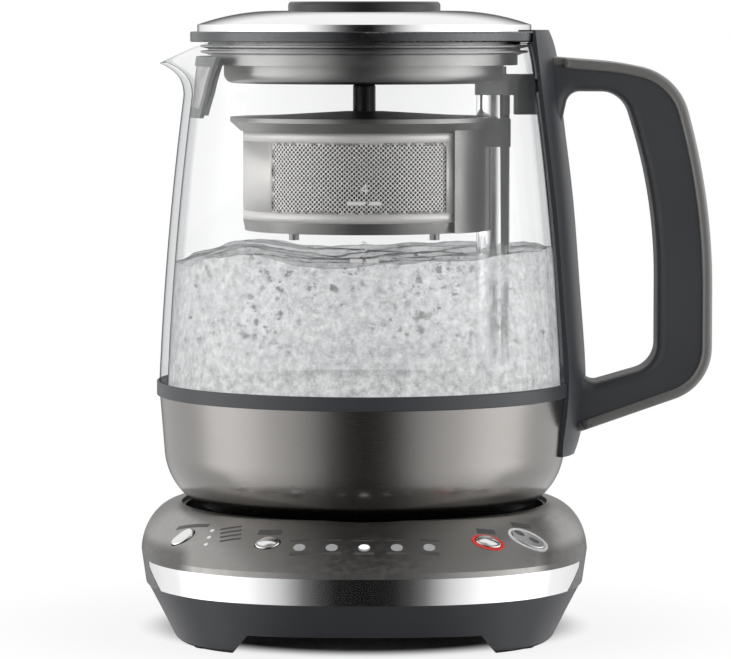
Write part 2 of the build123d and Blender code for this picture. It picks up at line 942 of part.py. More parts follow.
def build_switches():
    with BuildPart() as switches:
        for centre, _ in button_list():
            with BuildSketch(panel_plane(centre).offset(switch_top() - switch_size[2])):
                Rectangle(*switch_size[:2])
            extrude(amount=switch_size[2])
    return switches


def build_carrier():
    """The inner frame that holds the switches: a foot on the housing's floor and a leg to each switch."""
    low = switch_top() - switch_size[2]
    floor_low = arch_height + housing_floor
    with BuildPart() as carrier:
        for centre, _ in button_list():
            foot = panel_plane(centre).offset(low).origin
            add(upright(foot.X, foot.Y, carrier_radius, floor_low, foot.Z + carrier_radius))
        for centre, _ in button_list():
            with BuildSketch(panel_plane(centre).offset(low)):
                Circle(carrier_radius * 3)
            extrude(amount=carrier_radius * 3, mode=Mode.SUBTRACT)
    return carrier


def build_ring(centre, radii):
    with BuildPart() as inlay:
        add(panel_oval(centre, radii, button_gap + ring_width - fit_gap, -ring_depth, ring_proud))
        low = -ring_depth - cut_past
        add(panel_oval(centre, radii, button_gap, low, ring_proud + cut_past), mode=Mode.SUBTRACT)
    return inlay


def build_lights(places, radius):
    with BuildPart() as lights:
        for place in places:
            add(panel_disc(place, radius, -light_depth, light_proud))
    return lights


# ---- Well, connector and electronics


def build_well():
    outer = well_radius - fit_gap
    with BuildPart() as well:
        add(disc(outer, well_floor - well_floor_thickness, deck_height - well_rim_drop))
        add(disc(outer - well_wall, well_floor, deck_height), mode=Mode.SUBTRACT)
        add(disc(hub_radius + fit_gap, 0, deck_height), mode=Mode.SUBTRACT)
    return well


def build_hub():
    bottom = well_floor - well_floor_thickness
    with BuildPart() as hub:
        add(disc(hub_flange_radius, bottom - hub_flange_thickness, bottom))
        add(disc(hub_radius, bottom, hub_top))
        fillet(hub.faces().sort_by(Axis.Z)[-1].edges(), hub_edge)
        add(disc(pin_hole_radius, hub_top - slot_depth, hub_top), mode=Mode.SUBTRACT)
        add(ring(slot_outer_radius, slot_inner_radius, hub_top - slot_depth, hub_top), mode=Mode.SUBTRACT)
    return hub


def build_hub_contacts():
    """Contact sleeves in the hub: one in the centre hole, one in the ring slot."""
    low = hub_top - slot_depth
    high = hub_top - contact_drop
    with BuildPart() as contacts:
        add(ring(pin_hole_radius, pin_hole_radius - contact_wall, low, high))
        add(ring(slot_inner_radius + contact_wall, slot_inner_radius, low, high))
    return contacts


def build_power_board():
    with BuildPart() as board:
        add(
            block(
                (-board_half_x, board_front_y, board_height),
                (board_half_x, board_back_y, board_height + board_thickness),
            )
        )
        top = board_height + board_thickness
        with Locations((*transformer_at, top)):
            Box(*transformer_size, align=(Align.CENTER, Align.CENTER, Align.MIN))
        with Locations((*relay_at, top)):
            Box(*relay_size, align=(Align.CENTER, Align.CENTER, Align.MIN))
        for x, y in base_screw_places():
            add(upright(x, y, screw_radius + screw_gap, board_height, top), mode=Mode.SUBTRACT)
    return board


def build_base_plate():
    with BuildPart() as plate:
        add(
            block(
                (-plate_half_x, plate_front_y, arch_height),
                (plate_half_x, plate_back_y, arch_height + plate_thickness),
            )
        )
        for x, y in base_screw_places():
            add(upright(x, y, screw_radius + screw_gap, 0, board_height), mode=Mode.SUBTRACT)
    return plate


def build_base_screws():
    with BuildPart() as screws:
        for x, y in base_screw_places():
            add(upright(x, y, screw_head_radius, arch_height - screw_head_height, arch_height))
            add(upright(x, y, screw_radius - fit_gap, arch_height, arch_height + screw_length))
    return screws


def build_pads():
    with BuildPart() as pads:
        for x, y in pad_places():
            add(upright(x, y, pad_radius, 0, pad_thickness))
    return pads


# ---- Jug


def build_glass():
    with BuildPart() as glass:
        add(glass_solid(0))
        add(spout_solid(0))
        add(above_spout(), mode=Mode.SUBTRACT)
        add(glass_solid(glass_wall, glass_top + cut_reach), mode=Mode.SUBTRACT)
        add(spout_solid(spout_wall), mode=Mode.SUBTRACT)
        with BuildSketch(Plane.YZ.offset(wall_block_x)):
            with Locations((0, stud_height)):
                Circle(stud_radius + stud_gap)
        extrude(amount=cut_reach, mode=Mode.SUBTRACT)
    return glass


def bowl_solid(inset):
    with BuildPart() as body:
        with BuildSketch(Plane.XZ):
            with BuildLine():
                high = (bowl_top_radius - inset, bowl_top)
                waist = (bowl_waist_radius - inset, bowl_waist)
                turn = (bowl_turn_radius - inset, bowl_turn)
                low = (bowl_bottom_radius - inset, bowl_bottom)
                Line(high, waist)
                ThreePointArc(waist, turn, low)
                Polyline(low, (0, bowl_bottom), (0, bowl_top), high)
            make_face()
        revolve(axis=Axis.Z)
    return body.part


def build_bowl():
    with BuildPart() as bowl:
        add(bowl_solid(0))
        add(bowl_solid(bowl_wall), mode=Mode.SUBTRACT)
    return bowl


def build_floor():
    """The stainless floor: a shallow pan whose flange carries the glass, its screw pillars under it."""
    flange_radius = bowl_top_radius - bowl_wall - 3 * fit_gap
    with BuildPart() as floor:
        add(disc(floor_radius, floor_height - floor_thickness, bowl_top))
        add(disc(floor_radius - floor_thickness, floor_height, bowl_top), mode=Mode.SUBTRACT)
        add(ring(flange_radius, floor_radius - floor_thickness, bowl_top - floor_flange, bowl_top))
        add(upright(post_x, 0, post_radius + fit_gap, 0, bowl_top), mode=Mode.SUBTRACT)
        add(upright(*sensor_at, sensor_radius + fit_gap, 0, bowl_top), mode=Mode.SUBTRACT)
        low = bowl_bottom + cap_thickness
        for x, y in cap_screw_places():
            add(upright(x, y, boss_radius, low, floor_height - floor_thickness))
            add(upright(x, y, screw_radius, low, bowl_bottom + cap_screw_length), mode=Mode.SUBTRACT)
    return floor


def build_floor_seal():
    with BuildPart() as seal:
        add(ring(glass_bottom_radius, floor_radius - floor_thickness, bowl_top, glass_bottom))
    return seal


def build_band():
    inner = glass_bottom_radius + fit_gap
    with BuildPart() as band:
        add(ring(inner + band_thickness, inner, bowl_top, band_top))
        fillet(band.edges().filter_by(GeomType.CIRCLE).group_by(SortBy.RADIUS)[-1], band_edge)
    return band


def build_cap():
    """The jug's dark underside, with the ring that it stands on and the hole for the coupler."""
    outer = bowl_bottom_radius - bowl_wall - fit_gap
    foot = well_floor + seat_gap
    with BuildPart() as cap:
        add(disc(outer, bowl_bottom, bowl_bottom + cap_thickness))
        add(ring(cap_ring_radius, cap_ring_radius - cap_ring_width, foot, bowl_bottom))
        add(disc(coupler_radius + running_gap, 0, bowl_top), mode=Mode.SUBTRACT)
        for x, y in cap_screw_places():
            add(upright(x, y, screw_radius + screw_gap, 0, bowl_top), mode=Mode.SUBTRACT)
        x, y = jug_board_at
        aside = jug_board_size[0] / 2 - jug_board_post_inset
        low = bowl_bottom + cap_thickness
        for side in (-1, 1):
            add(upright(x + side * aside, y, jug_board_post_radius, low, jug_board_height))
    return cap


def cap_screw_places():
    return [
        (cap_screw_radius_at * cos(turn), cap_screw_radius_at * sin(turn))
        for turn in (radians(90 + 360 * i / cap_screw_count) for i in range(cap_screw_count))
    ]


def build_cap_screws():
    low = bowl_bottom - screw_head_height
    with BuildPart() as screws:
        for x, y in cap_screw_places():
            add(upright(x, y, screw_head_radius, low, bowl_bottom))
            add(upright(x, y, screw_radius - fit_gap, bowl_bottom, bowl_bottom + cap_screw_length))
    return screws


def build_coupler():
    """The jug's half of the turning connector: a socket that drops over the hub."""
    low = well_floor + coupler_bottom_gap
    inner = hub_radius + running_gap
    retained = bowl_bottom + cap_thickness + running_gap
    with BuildPart() as coupler:
        add(disc(coupler_radius, low, coupler_top))
        add(disc(coupler_radius + coupler_flange, retained, retained + coupler_flange_thickness))
        add(disc(inner, low - cut_past, hub_top + running_gap * 2), mode=Mode.SUBTRACT)
    return coupler


def build_coupler_contacts():
    """The pin and ring that enter the hub."""
    low = hub_top - slot_depth + contact_drop
    high = hub_top + running_gap * 2
    middle = (slot_inner_radius + contact_wall + slot_outer_radius) / 2
    with BuildPart() as contacts:
        add(disc(coupler_pin_radius, low, high))
        add(ring(middle + contact_wall, middle - contact_wall, low, high))
    return contacts


def build_spreader():
    with BuildPart() as spreader:
        top = floor_height - floor_thickness
        add(disc(spreader_radius, top - spreader_thickness, top))
        add(disc(spreader_hole_radius, 0, top), mode=Mode.SUBTRACT)
    return spreader


def build_heater():
    """A tubular element brazed under the spreader, its two ends turned down."""
    centre = floor_height - floor_thickness - spreader_thickness - heater_tube_radius
    with BuildPart() as heater:
        with Locations((0, 0, centre)):
            Torus(heater_radius, heater_tube_radius, major_angle=heater_angle)
        for turn in (0, heater_angle):
            x = heater_radius * cos(radians(turn))
            y = heater_radius * sin(radians(turn))
            add(upright(x, y, heater_end_radius, centre - heater_end_length, centre))
    return heater


def build_sensor():
    x, y = sensor_at
    under = floor_height - floor_thickness
    with BuildPart() as sensor:
        add(upright(x, y, sensor_radius, sensor_bottom, sensor_top))
        fillet(sensor.faces().sort_by(Axis.Z)[-1].edges(), sensor_edge)
        add(upright(x, y, sensor_flange_radius, under - sensor_flange_thickness, under))
    return sensor


def build_jug_board():
    x, y = jug_board_at
    half_x, half_y = (side / 2 for side in jug_board_size)
    with BuildPart() as board:
        low = jug_board_height
        add(block((x - half_x, y - half_y, low), (x + half_x, y + half_y, low + board_thickness)))
        with Locations((x, y, low + board_thickness)):
            Box(*jug_board_chip, align=(Align.CENTER, Align.CENTER, Align.MIN))
    return board


# ---- Post and drive


def build_post():
    with BuildPart() as post:
        add(upright(post_x, 0, post_radius, post_bottom, post_top))
        add(upright(post_x, 0, post_radius - post_wall, post_bottom, post_top), mode=Mode.SUBTRACT)
    return post


def build_post_bracket():
    """The arm at the post's top that reaches the glass beside the handle, with a stud into the spine."""
    wall_x = jug_radius(stud_height)
    far = wall_x + glass_wall
    width = bracket_half_width
    with BuildPart() as bracket:
        add(block((bracket_inner_x, -width, bracket_bottom), (far, width, bracket_top)))
        fillet(bracket.edges().filter_by(Axis.Z).sort_by(Axis.X)[:2], bracket_corner)
        add(block((wall_block_x, -width, wall_block_bottom), (far, width, bracket_bottom)))
        add(glass_solid(glass_wall + fit_gap, glass_top), mode=Mode.INTERSECT)
        with BuildSketch(Plane.YZ.offset(wall_block_x)):
            with Locations((0, stud_height)):
                Circle(stud_radius)
        extrude(amount=wall_x + stud_depth - wall_block_x)
        add(upright(post_x, 0, post_radius + fit_gap, 0, post_top), mode=Mode.SUBTRACT)
    return bracket


def build_post_cap():
    with BuildPart() as cap:
        add(
            block(
                (post_x - post_cap_half_length, -post_cap_half_width, bracket_top),
                (post_x + post_cap_half_length, post_cap_half_width, bracket_top + post_cap_height),
            )
        )
        fillet(cap.edges().filter_by(Axis.Z), post_cap_corner)
    return cap


def build_screw_bearing():
    inner = screw_rod_radius + shaft_gap
    with BuildPart() as bearing:
        top = post_top - bearing_drop
        add(upright(post_x, 0, post_radius - post_wall, top - bearing_height, top))
        add(upright(post_x, 0, inner, 0, post_top), mode=Mode.SUBTRACT)
    return bearing


def build_lead_screw():
    with BuildPart() as rod:
        add(upright(post_x, 0, screw_rod_radius, coupling_top, screw_rod_top))
        chamfer(rod.faces().sort_by(Axis.Z)[-1].edges(), screw_rod_edge)
    return rod


def build_coupling():
    """The motor's shaft with the coupling pressed on it, which carries the lead screw."""
    with BuildPart() as coupling:
        add(upright(post_x, 0, coupling_radius, coupling_bottom, coupling_top))
        chamfer(coupling.edges().filter_by(GeomType.CIRCLE), coupling_edge)
        add(upright(post_x, 0, motor_shaft_radius, motor_top - motor_shaft_depth, coupling_bottom))
    return coupling


def build_motor():
    with BuildPart() as motor:
        add(upright(post_x, 0, motor_radius, motor_bottom, motor_top))
        chamfer(motor.edges().filter_by(GeomType.CIRCLE), motor_edge)
        low = motor_top - motor_shaft_depth - seat_gap
        add(upright(post_x, 0, motor_shaft_radius + shaft_gap, low, motor_top), mode=Mode.SUBTRACT)
    return motor


def build_motor_mount():
    """The plate over the motor, hung from the floor on two pillars."""
    under = floor_height - floor_thickness
    with BuildPart() as mount:
        add(upright(post_x, 0, mount_radius, motor_top, motor_top + mount_thickness))
        for side in (-1, 1):
            y = side * (mount_radius - mount_pillar_inset)
            add(upright(post_x, y, mount_pillar_radius, motor_top, under))
        add(upright(post_x, 0, coupling_radius, 0, under), mode=Mode.SUBTRACT)
    return mount


def build_nut():
    """The nut inside the post, a magnet moulded round its waist."""
    middle = (collar_top + collar_bottom) / 2
    radius = post_radius - post_wall - running_gap
    waist = nut_half_height * nut_magnet_share
    with BuildPart() as nut:
        add(upright(post_x, 0, radius - nut_step, middle - nut_half_height, middle + nut_half_height))
        add(upright(post_x, 0, radius, middle - waist, middle + waist))
        add(upright(post_x, 0, screw_rod_radius + shaft_gap, 0, post_top), mode=Mode.SUBTRACT)
    return nut


# ---- Tea basket


def post_slot(gap, low, high):
    """The space of the post and everything on its handle side."""
    radius = post_radius + gap
    with BuildPart() as slot:
        add(upright(post_x, 0, radius, low, high))
        add(block((post_x, -radius, low), (post_x + cut_reach, radius, high)))
    return slot.part


def collar_space():
    return block(
        (collar_inner_x, -collar_half_width, collar_bottom), (collar_outer_x, collar_half_width, collar_top)
    )


def magnet_places():
    middle = (post_radius + running_gap + collar_half_width) / 2
    return [(post_x, side * middle, (collar_top + collar_bottom) / 2) for side in (-1, 1)]


def build_carriage():
    """The fork that runs on the post and carries the basket."""
    with BuildPart() as carriage:
        add(collar_space())
        add(post_slot(running_gap, 0, glass_top), mode=Mode.SUBTRACT)
        with Locations(magnet_places()):
            Box(*magnet_size, mode=Mode.SUBTRACT)
    return carriage


def build_carriage_magnets():
    with BuildPart() as magnets:
        with Locations(magnet_places()):
            Box(*magnet_size)
    return magnets


def build_basket_frame():
    """The basket's dark frame: rim, back block and foot ring in one moulding."""
    with BuildPart() as frame:
        add(
            turned(
                (rim_radius - rim_width, rim_bottom),
                (basket_radius + rim_overhang, rim_bottom),
                (rim_radius, rim_top - rim_edge),
                (rim_radius, rim_top),
                (rim_radius - rim_width, rim_top),
            )
        )
        add(
            turned(
                (basket_foot_radius - basket_ring_width, basket_bottom),
                (basket_foot_radius, basket_bottom),
                (basket_radius + fit_gap, basket_ring_top),
                (basket_foot_radius - basket_ring_width, basket_ring_top),
            )
        )
        with BuildSketch(Plane.XY.offset(basket_bottom)):
            Circle(back_block_radius)
            with Locations((basket_flat_x, 0)):
                Rectangle(
                    2 * back_block_radius,
                    2 * back_block_radius,
                    align=(Align.MIN, Align.CENTER),
                    mode=Mode.INTERSECT,
                )
        extrude(amount=back_block_top - basket_bottom)
        for turn in bump_turns():
            radius = basket_foot_radius - basket_ring_width / 2
            x, y = radius * cos(turn), radius * sin(turn)
            add(upright(x, y, bump_radius, basket_bottom - bump_height, basket_bottom + bump_radius))
        add(post_slot(running_gap, 0, glass_top), mode=Mode.SUBTRACT)
        add(collar_space(), mode=Mode.SUBTRACT)
    return frame


def bump_turns():
    return [radians(turn) for turn in (bump_angle, 180 - bump_angle, 180 + bump_angle, -bump_angle)]


def basket_outline(radius, flat_x):
    """The basket's inside: a circle cut straight beside the post."""
    with BuildSketch() as flat:
        Circle(radius)
        with Locations((flat_x, 0)):
            Rectangle(
                2 * radius, 2 * radius, align=(Align.MIN, Align.CENTER), mode=Mode.SUBTRACT
            )
    return flat.sketch


def build_basket_wall():
    with BuildPart() as wall:
        with BuildSketch(Plane.XY.offset(basket_ring_top)):
            add(basket_outline(basket_radius, basket_flat_x))
            inside = basket_outline(basket_radius - basket_sheet, basket_flat_x - basket_sheet)
            add(inside, mode=Mode.SUBTRACT)
        extrude(amount=rim_bottom - basket_ring_top)
    return wall


def build_basket_floor():
    radius = basket_foot_radius - basket_ring_width
    with BuildPart() as floor:
        with BuildSketch(Plane.XY.offset(basket_bottom + basket_floor_rise)):
            add(basket_outline(radius, basket_flat_x))
            with PolarLocations(radius / 2, floor_hole_count):
                Circle(floor_hole_radius, mode=Mode.SUBTRACT)
        extrude(amount=basket_sheet)
    return floor


def build_basket_lid():
    """The basket's domed lid with the stem that is its handle."""
    top = plug_bottom - 2 * seat_gap
    low = rim_top - basket_lid_thickness
    with BuildPart() as lid:
        add(
            turned(
                (0, low),
                (basket_lid_radius, low),
                (basket_lid_radius, rim_top),
                (stem_half_width * 2, rim_top + basket_lid_rise),
                (0, rim_top + basket_lid_rise),
            )
        )
        add(disc(stem_half_width, rim_top, top))
        fillet(lid.faces().sort_by(Axis.Z)[-1].edges(), stem_edge)
        cut_x = basket_flat_x + basket_lid_ledge
        half = basket_lid_radius
        add(block((cut_x, -half, 0), (cut_x + half, half, glass_top)), mode=Mode.SUBTRACT)
    return lid


# ---- Lid


def build_plug():
    """The lid's hollow plug, notched where the post's bracket stands."""
    notch_x = bracket_inner_x - 2 * plug_notch_gap
    notch_half = bracket_half_width + plug_notch_gap
    with BuildPart() as plug:
        add(disc(plug_radius, plug_bottom, plug_flange_bottom))
        fillet(plug.faces().sort_by(Axis.Z)[0].edges(), plug_edge)
        add(disc(plug_flange_radius, plug_flange_bottom, plug_flange_top))
        add(disc(plug_radius - plug_wall, plug_bottom + plug_wall, plug_flange_top), mode=Mode.SUBTRACT)
        add(
            block(
                (notch_x - plug_wall, -notch_half - plug_wall, plug_bottom),
                (plug_radius - plug_wall, notch_half + plug_wall, plug_flange_bottom + plug_wall),
            )
        )
        add(
            block((notch_x, -notch_half, 0), (lid_rim_radius, notch_half, plug_flange_bottom)),
            mode=Mode.SUBTRACT,
        )
    return plug


def build_seal():
    top = glass_top + seat_gap
    with BuildPart() as seal:
        add(ring(seal_radius, seal_inner_radius, plug_flange_top, top))
        for height in (plug_flange_top + rise for rise in lip_rises):
            add(
                turned(
                    (seal_radius - lip_root, height - lip_thickness),
                    (lip_radius, height),
                    (lip_radius, height + lip_thickness * lip_taper),
                    (seal_radius - lip_root, height + lip_thickness),
                )
            )
    return seal


def build_lid_rim():
    low = glass_top + seat_gap
    with BuildPart() as rim:
        add(ring(lid_rim_radius, lid_rim_inner_radius, low, low + lid_rim_thickness))
        fillet(rim.edges().filter_by(GeomType.CIRCLE).group_by(SortBy.RADIUS)[-1], lid_rim_edge)
    return rim


def plate_solid(inset):
    """The lid's domed plate as a solid, from its standing edge to a flat under the knob."""
    edge = (plate_radius - inset, plate_low + plate_edge - inset)
    dome = (plate_dome_radius, plate_low + plate_rise * plate_dome_share - inset)
    flat = (knob_radius + knob_margin, plate_top - inset)
    with BuildPart() as body:
        with BuildSketch(Plane.XZ):
            with BuildLine():
                Line((plate_radius - inset, plate_low), edge)
                ThreePointArc(edge, dome, flat)
                Polyline(flat, (0, flat[1]), (0, plate_low), (plate_radius - inset, plate_low))
            make_face()
        revolve(axis=Axis.Z)
    return body.part


def build_plate():
    with BuildPart() as plate:
        add(plate_solid(0))
        add(plate_solid(plate_sheet), mode=Mode.SUBTRACT)
        add(disc(knob_radius + fit_gap, knob_seat, plate_top), mode=Mode.SUBTRACT)
        add(disc(knob_screw_radius + fit_gap, 0, plate_top), mode=Mode.SUBTRACT)
    return plate


def build_knob():
    with BuildPart() as knob:
        add(disc(knob_radius, knob_seat, knob_top))
        fillet(knob.faces().sort_by(Axis.Z)[-1].edges(), knob_edge)
        add(disc(knob_screw_radius, 0, knob_seat + knob_screw_depth), mode=Mode.SUBTRACT)
    return knob


def build_knob_screw():
    """The screw that holds the knob through the plate, its head inside the lid."""
    under = plate_top - plate_sheet
    with BuildPart() as screw:
        add(disc(knob_screw_radius * 2, under - knob_screw_head, under - fit_gap))
        top = knob_seat + knob_screw_depth - knob_screw_end
        add(disc(knob_screw_radius - fit_gap, under - knob_screw_head, top))
    return screw


# ---- Handle


def spine_section(height, inner_x=None):
    """The handle's backbone at one height: a rounded strip that wraps the jug, or one reaching further in."""
    ends = min(height - spine_bottom, spine_top - height)
    fullness = min(ends / spine_end_run, 1)
    depth = spine_end_depth + (spine_depth - spine_end_depth) * fullness
    radius = jug_radius(height)
    edge = sqrt(radius**2 - spine_half_width**2)
    inside = edge - spine_root if inner_x is None else inner_x
    with BuildSketch() as flat:
        with BuildLine():
            Polyline(
                (edge + spine_edge, -spine_half_width),
                (inside, -spine_half_width),
                (inside, spine_half_width),
                (edge + spine_edge, spine_half_width),
            )
            ThreePointArc(
                (edge + spine_edge, spine_half_width),
                (radius + depth, 0),
                (edge + spine_edge, -spine_half_width),
            )
        make_face()
    return flat.sketch


def jug_space():
    """Everything that the backbone must stay clear of: glass, band, bowl and the lid's path."""
    gap = fit_gap
    low = spine_bottom - spine_depth
    with BuildPart() as body:
        add(glass_solid(-gap))
        add(disc(glass_bottom_radius + band_thickness + 3 * gap, bowl_top - gap, band_top + gap))
        add(
            turned(
                (0, low),
                (jug_radius(low) + gap, low),
                (jug_radius(bowl_waist) + gap, bowl_waist),
                (jug_radius(bowl_top) + gap, bowl_top),
                (0, bowl_top),
            )
        )
        add(disc(lid_rim_radius + running_gap, glass_top, spine_top + cut_past))
    return body.part


def spine_solid(inner_x=None):
    run = spine_end_run
    span = glass_shoulder - glass_bottom
    middle = [glass_bottom + span * i / spine_steps for i in range(spine_steps + 1)]
    heights = [spine_bottom, spine_bottom + run, *middle, spine_top - run, spine_top]
    with BuildPart() as body:
        for height in heights:
            with BuildSketch(Plane.XY.offset(height)):
                add(spine_section(height, inner_x))
        loft()
    return body.part


def build_spine():
    with BuildPart() as spine:
        add(spine_solid())
        add(jug_space(), mode=Mode.SUBTRACT)
        with BuildSketch(Plane.YZ.offset(wall_block_x)):
            with Locations((0, stud_height)):
                Circle(stud_radius + fit_gap)
        reach = jug_radius(stud_height) - wall_block_x + stud_depth + fit_gap
        extrude(amount=reach, mode=Mode.SUBTRACT)
    return spine


def handle_outline(inset=0.0):
    """The handle's outside in side view, closed well inside the jug, or the same drawn in by an inset."""
    with BuildSketch() as flat:
        with BuildLine():
            path = FilletPolyline(*handle_corners, radius=handle_corner_radii)
            Line(path @ 1, path @ 0)
        make_face()
        if inset:
            offset(amount=-inset, mode=Mode.REPLACE)
    return flat.sketch


def finger_opening():
    """The space for the fingers in side view, reaching back past the backbone's surface."""
    with BuildSketch() as flat:
        with BuildLine():
            FilletPolyline(*finger_corners, radius=finger_corner_radii, close=True)
        make_face()
    return flat.sketch


def behind_handle():
    """What the grip and its cover are cut back to: the backbone's outer surface."""
    return spine_solid(handle_root_x - spine_root)


def build_grip():
    with BuildPart() as grip:
        with BuildSketch(Plane.XZ):
            add(handle_outline(cover_thickness))
        extrude(amount=grip_half_width, both=True)
        with BuildSketch(Plane.XZ):
            add(finger_opening())
        extrude(amount=grip_half_width, both=True, mode=Mode.SUBTRACT)
        sides = [grip.faces().sort_by(Axis.Y)[0], grip.faces().sort_by(Axis.Y)[-1]]
        fillet([edge for side in sides for edge in side.inner_wires()[0].edges()], grip_edge)
        add(behind_handle(), mode=Mode.SUBTRACT)
    return grip


def build_cover():
    """The bright strip along the handle's outer edge."""
    with BuildPart() as cover:
        with BuildSketch(Plane.XZ):
            add(handle_outline())
            add(handle_outline(cover_thickness), mode=Mode.SUBTRACT)
        extrude(amount=grip_half_width - cover_step, both=True)
        sides = [cover.faces().sort_by(Axis.Y)[0], cover.faces().sort_by(Axis.Y)[-1]]
        fillet([edge for side in sides for edge in side.outer_wire().edges()], cover_edge)
        add(behind_handle(), mode=Mode.SUBTRACT)
    return cover


# ---- Spout filter


def filter_sector(margin):
    """The sector of the jug that the filter covers, drawn in by a margin."""
    turn = radians(filter_half_angle)
    far = spout_reach
    wide = far * tan(turn) - margin
    low = wide * filter_low_share
    high = wide * filter_high_share
    with BuildPart() as body:
        with BuildSketch(Plane.YZ):
            with BuildLine():
                Polyline(
                    (-low, filter_bottom + margin),
                    (low, filter_bottom + margin),
                    (high, filter_top - margin),
                    (-high, filter_top - margin),
                    close=True,
                )
            make_face()
        extrude(amount=-far)
    return body.part


def filter_skin(outer, inner):
    with BuildPart() as body:
        add(glass_solid(glass_wall + outer, glass_top))
        add(glass_solid(glass_wall + inner, glass_top + cut_past), mode=Mode.SUBTRACT)
    return body.part


def build_filter_frame():
    with BuildPart() as frame:
        add(filter_skin(fit_gap, filter_thickness))
        add(filter_sector(0), mode=Mode.INTERSECT)
        add(filter_sector(filter_window_margin), mode=Mode.SUBTRACT)
    return frame


def build_filter_mesh():
    middle = filter_thickness / 2
    with BuildPart() as mesh:
        add(filter_skin(middle, middle + filter_cloth))
        add(filter_sector(filter_window_margin), mode=Mode.INTERSECT)
    return mesh


# ---- Every piece, by name


save(build_housing(), "base_housing")
save(build_deck(), "base_top_plate")
save(build_strip(), "base_trim_strip")
save(build_base_plate(), "base_bottom_plate")
save(build_base_screws(), "base_screws")
save(build_pads(), "base_feet")
save(build_gland(), "cord_gland")
save(build_well(), "jug_well")
save(build_hub(), "base_connector")
save(build_hub_contacts(), "base_contacts")
save(build_power_board(), "power_board")
save(build_carrier(), "switch_carrier")
save(build_switches(), "button_switches")
save(build_button(*button_list()[0]), "strength_button")
save(build_button(*button_list()[1]), "tea_kind_button")
save(build_button(*button_list()[2]), "keep_warm_button")
save(build_button(*button_list()[3]), "start_button")
save(build_ring(*ring_list()[0]), "keep_warm_ring")
save(build_ring(*ring_list()[1]), "start_ring")
save(build_lights(temperature_light_places(), light_radius), "temperature_lights")
save(build_lights(strength_light_places(), strength_light_radius), "strength_lights")
save(build_glass(), "glass_body")
save(build_bowl(), "jug_bowl")
save(build_floor(), "jug_floor")
save(build_floor_seal(), "floor_seal")
save(build_band(), "jug_trim_band")
save(build_cap(), "jug_bottom_cap")
save(build_cap_screws(), "cap_screws")
save(build_coupler(), "jug_coupler")
save(build_coupler_contacts(), "coupler_contacts")
save(build_spreader(), "heat_spreader")
save(build_heater(), "heating_element")
save(build_sensor(), "temperature_sensor")
save(build_jug_board(), "jug_board")
save(build_post(), "basket_post")
save(build_post_bracket(), "post_bracket")
save(build_post_cap(), "post_cap")
save(build_screw_bearing(), "screw_bearing")
save(build_lead_screw(), "lead_screw")
save(build_coupling(), "screw_coupling")
save(build_motor(), "lift_motor")
save(build_motor_mount(), "motor_mount")
save(build_nut(), "drive_nut")
save(build_carriage(), "basket_carriage")
save(build_carriage_magnets(), "carriage_magnets")
save(build_basket_frame(), "basket_frame")
save(build_basket_wall(), "basket_wall")
save(build_basket_floor(), "basket_floor")
save(build_basket_lid(), "basket_lid")
save(build_plug(), "lid_plug")
save(build_seal(), "lid_seal")
save(build_lid_rim(), "lid_rim")
save(build_plate(), "lid_plate")
save(build_knob(), "lid_knob")
save(build_knob_screw(), "knob_screw")
save(build_spine(), "handle_spine")
save(build_grip(), "handle_grip")
save(build_cover(), "handle_cover")
save(build_filter_frame(), "spout_filter")
save(build_filter_mesh(), "spout_filter_mesh")
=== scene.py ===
import math
import random

import bmesh
import bpy
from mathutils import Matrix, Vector, noise
from mathutils.bvhtree import BVHTree


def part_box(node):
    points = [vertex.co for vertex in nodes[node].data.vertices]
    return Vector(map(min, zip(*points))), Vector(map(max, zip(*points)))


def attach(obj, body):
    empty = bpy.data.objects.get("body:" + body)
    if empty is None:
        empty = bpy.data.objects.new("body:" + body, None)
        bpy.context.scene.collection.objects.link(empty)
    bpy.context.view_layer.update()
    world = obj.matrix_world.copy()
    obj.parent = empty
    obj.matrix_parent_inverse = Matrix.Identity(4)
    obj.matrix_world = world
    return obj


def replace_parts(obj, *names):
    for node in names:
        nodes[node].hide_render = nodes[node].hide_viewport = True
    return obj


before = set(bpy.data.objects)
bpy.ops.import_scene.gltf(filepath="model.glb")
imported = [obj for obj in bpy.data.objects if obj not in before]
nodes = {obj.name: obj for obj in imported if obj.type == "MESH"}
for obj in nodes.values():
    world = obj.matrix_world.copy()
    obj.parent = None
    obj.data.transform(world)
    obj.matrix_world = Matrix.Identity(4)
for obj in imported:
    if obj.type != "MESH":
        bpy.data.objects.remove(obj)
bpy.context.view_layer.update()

random.seed(7)


# ---- Node helpers


def tree_of(material):
    """A material's emptied node tree and its new output node."""
    material.use_nodes = True
    tree = material.node_tree
    tree.nodes.clear()
    out = tree.nodes.new("ShaderNodeOutputMaterial")
    return tree, out


def principled(name):
    """A new material, its node tree and its principled shader."""
    material = bpy.data.materials.new(name)
    tree, out = tree_of(material)
    shader = tree.nodes.new("ShaderNodeBsdfPrincipled")
    tree.links.new(shader.outputs["BSDF"], out.inputs["Surface"])
    return material, tree, shader


def noise_node(tree, scale, detail=3.0, stretch=(1, 1, 1), roughness=0.5):
    """A noise texture over the object's own coordinates, in features per metre; gives its level."""
    place = tree.nodes.new("ShaderNodeTexCoord")
    mapping = tree.nodes.new("ShaderNodeMapping")
    mapping.inputs["Scale"].default_value = stretch
    texture = tree.nodes.new("ShaderNodeTexNoise")
    texture.inputs["Scale"].default_value = scale
    texture.inputs["Detail"].default_value = detail
    texture.inputs["Roughness"].default_value = roughness
    tree.links.new(place.outputs["Object"], mapping.inputs["Vector"])
    tree.links.new(mapping.outputs["Vector"], texture.inputs["Vector"])
    return texture.outputs["Fac"]


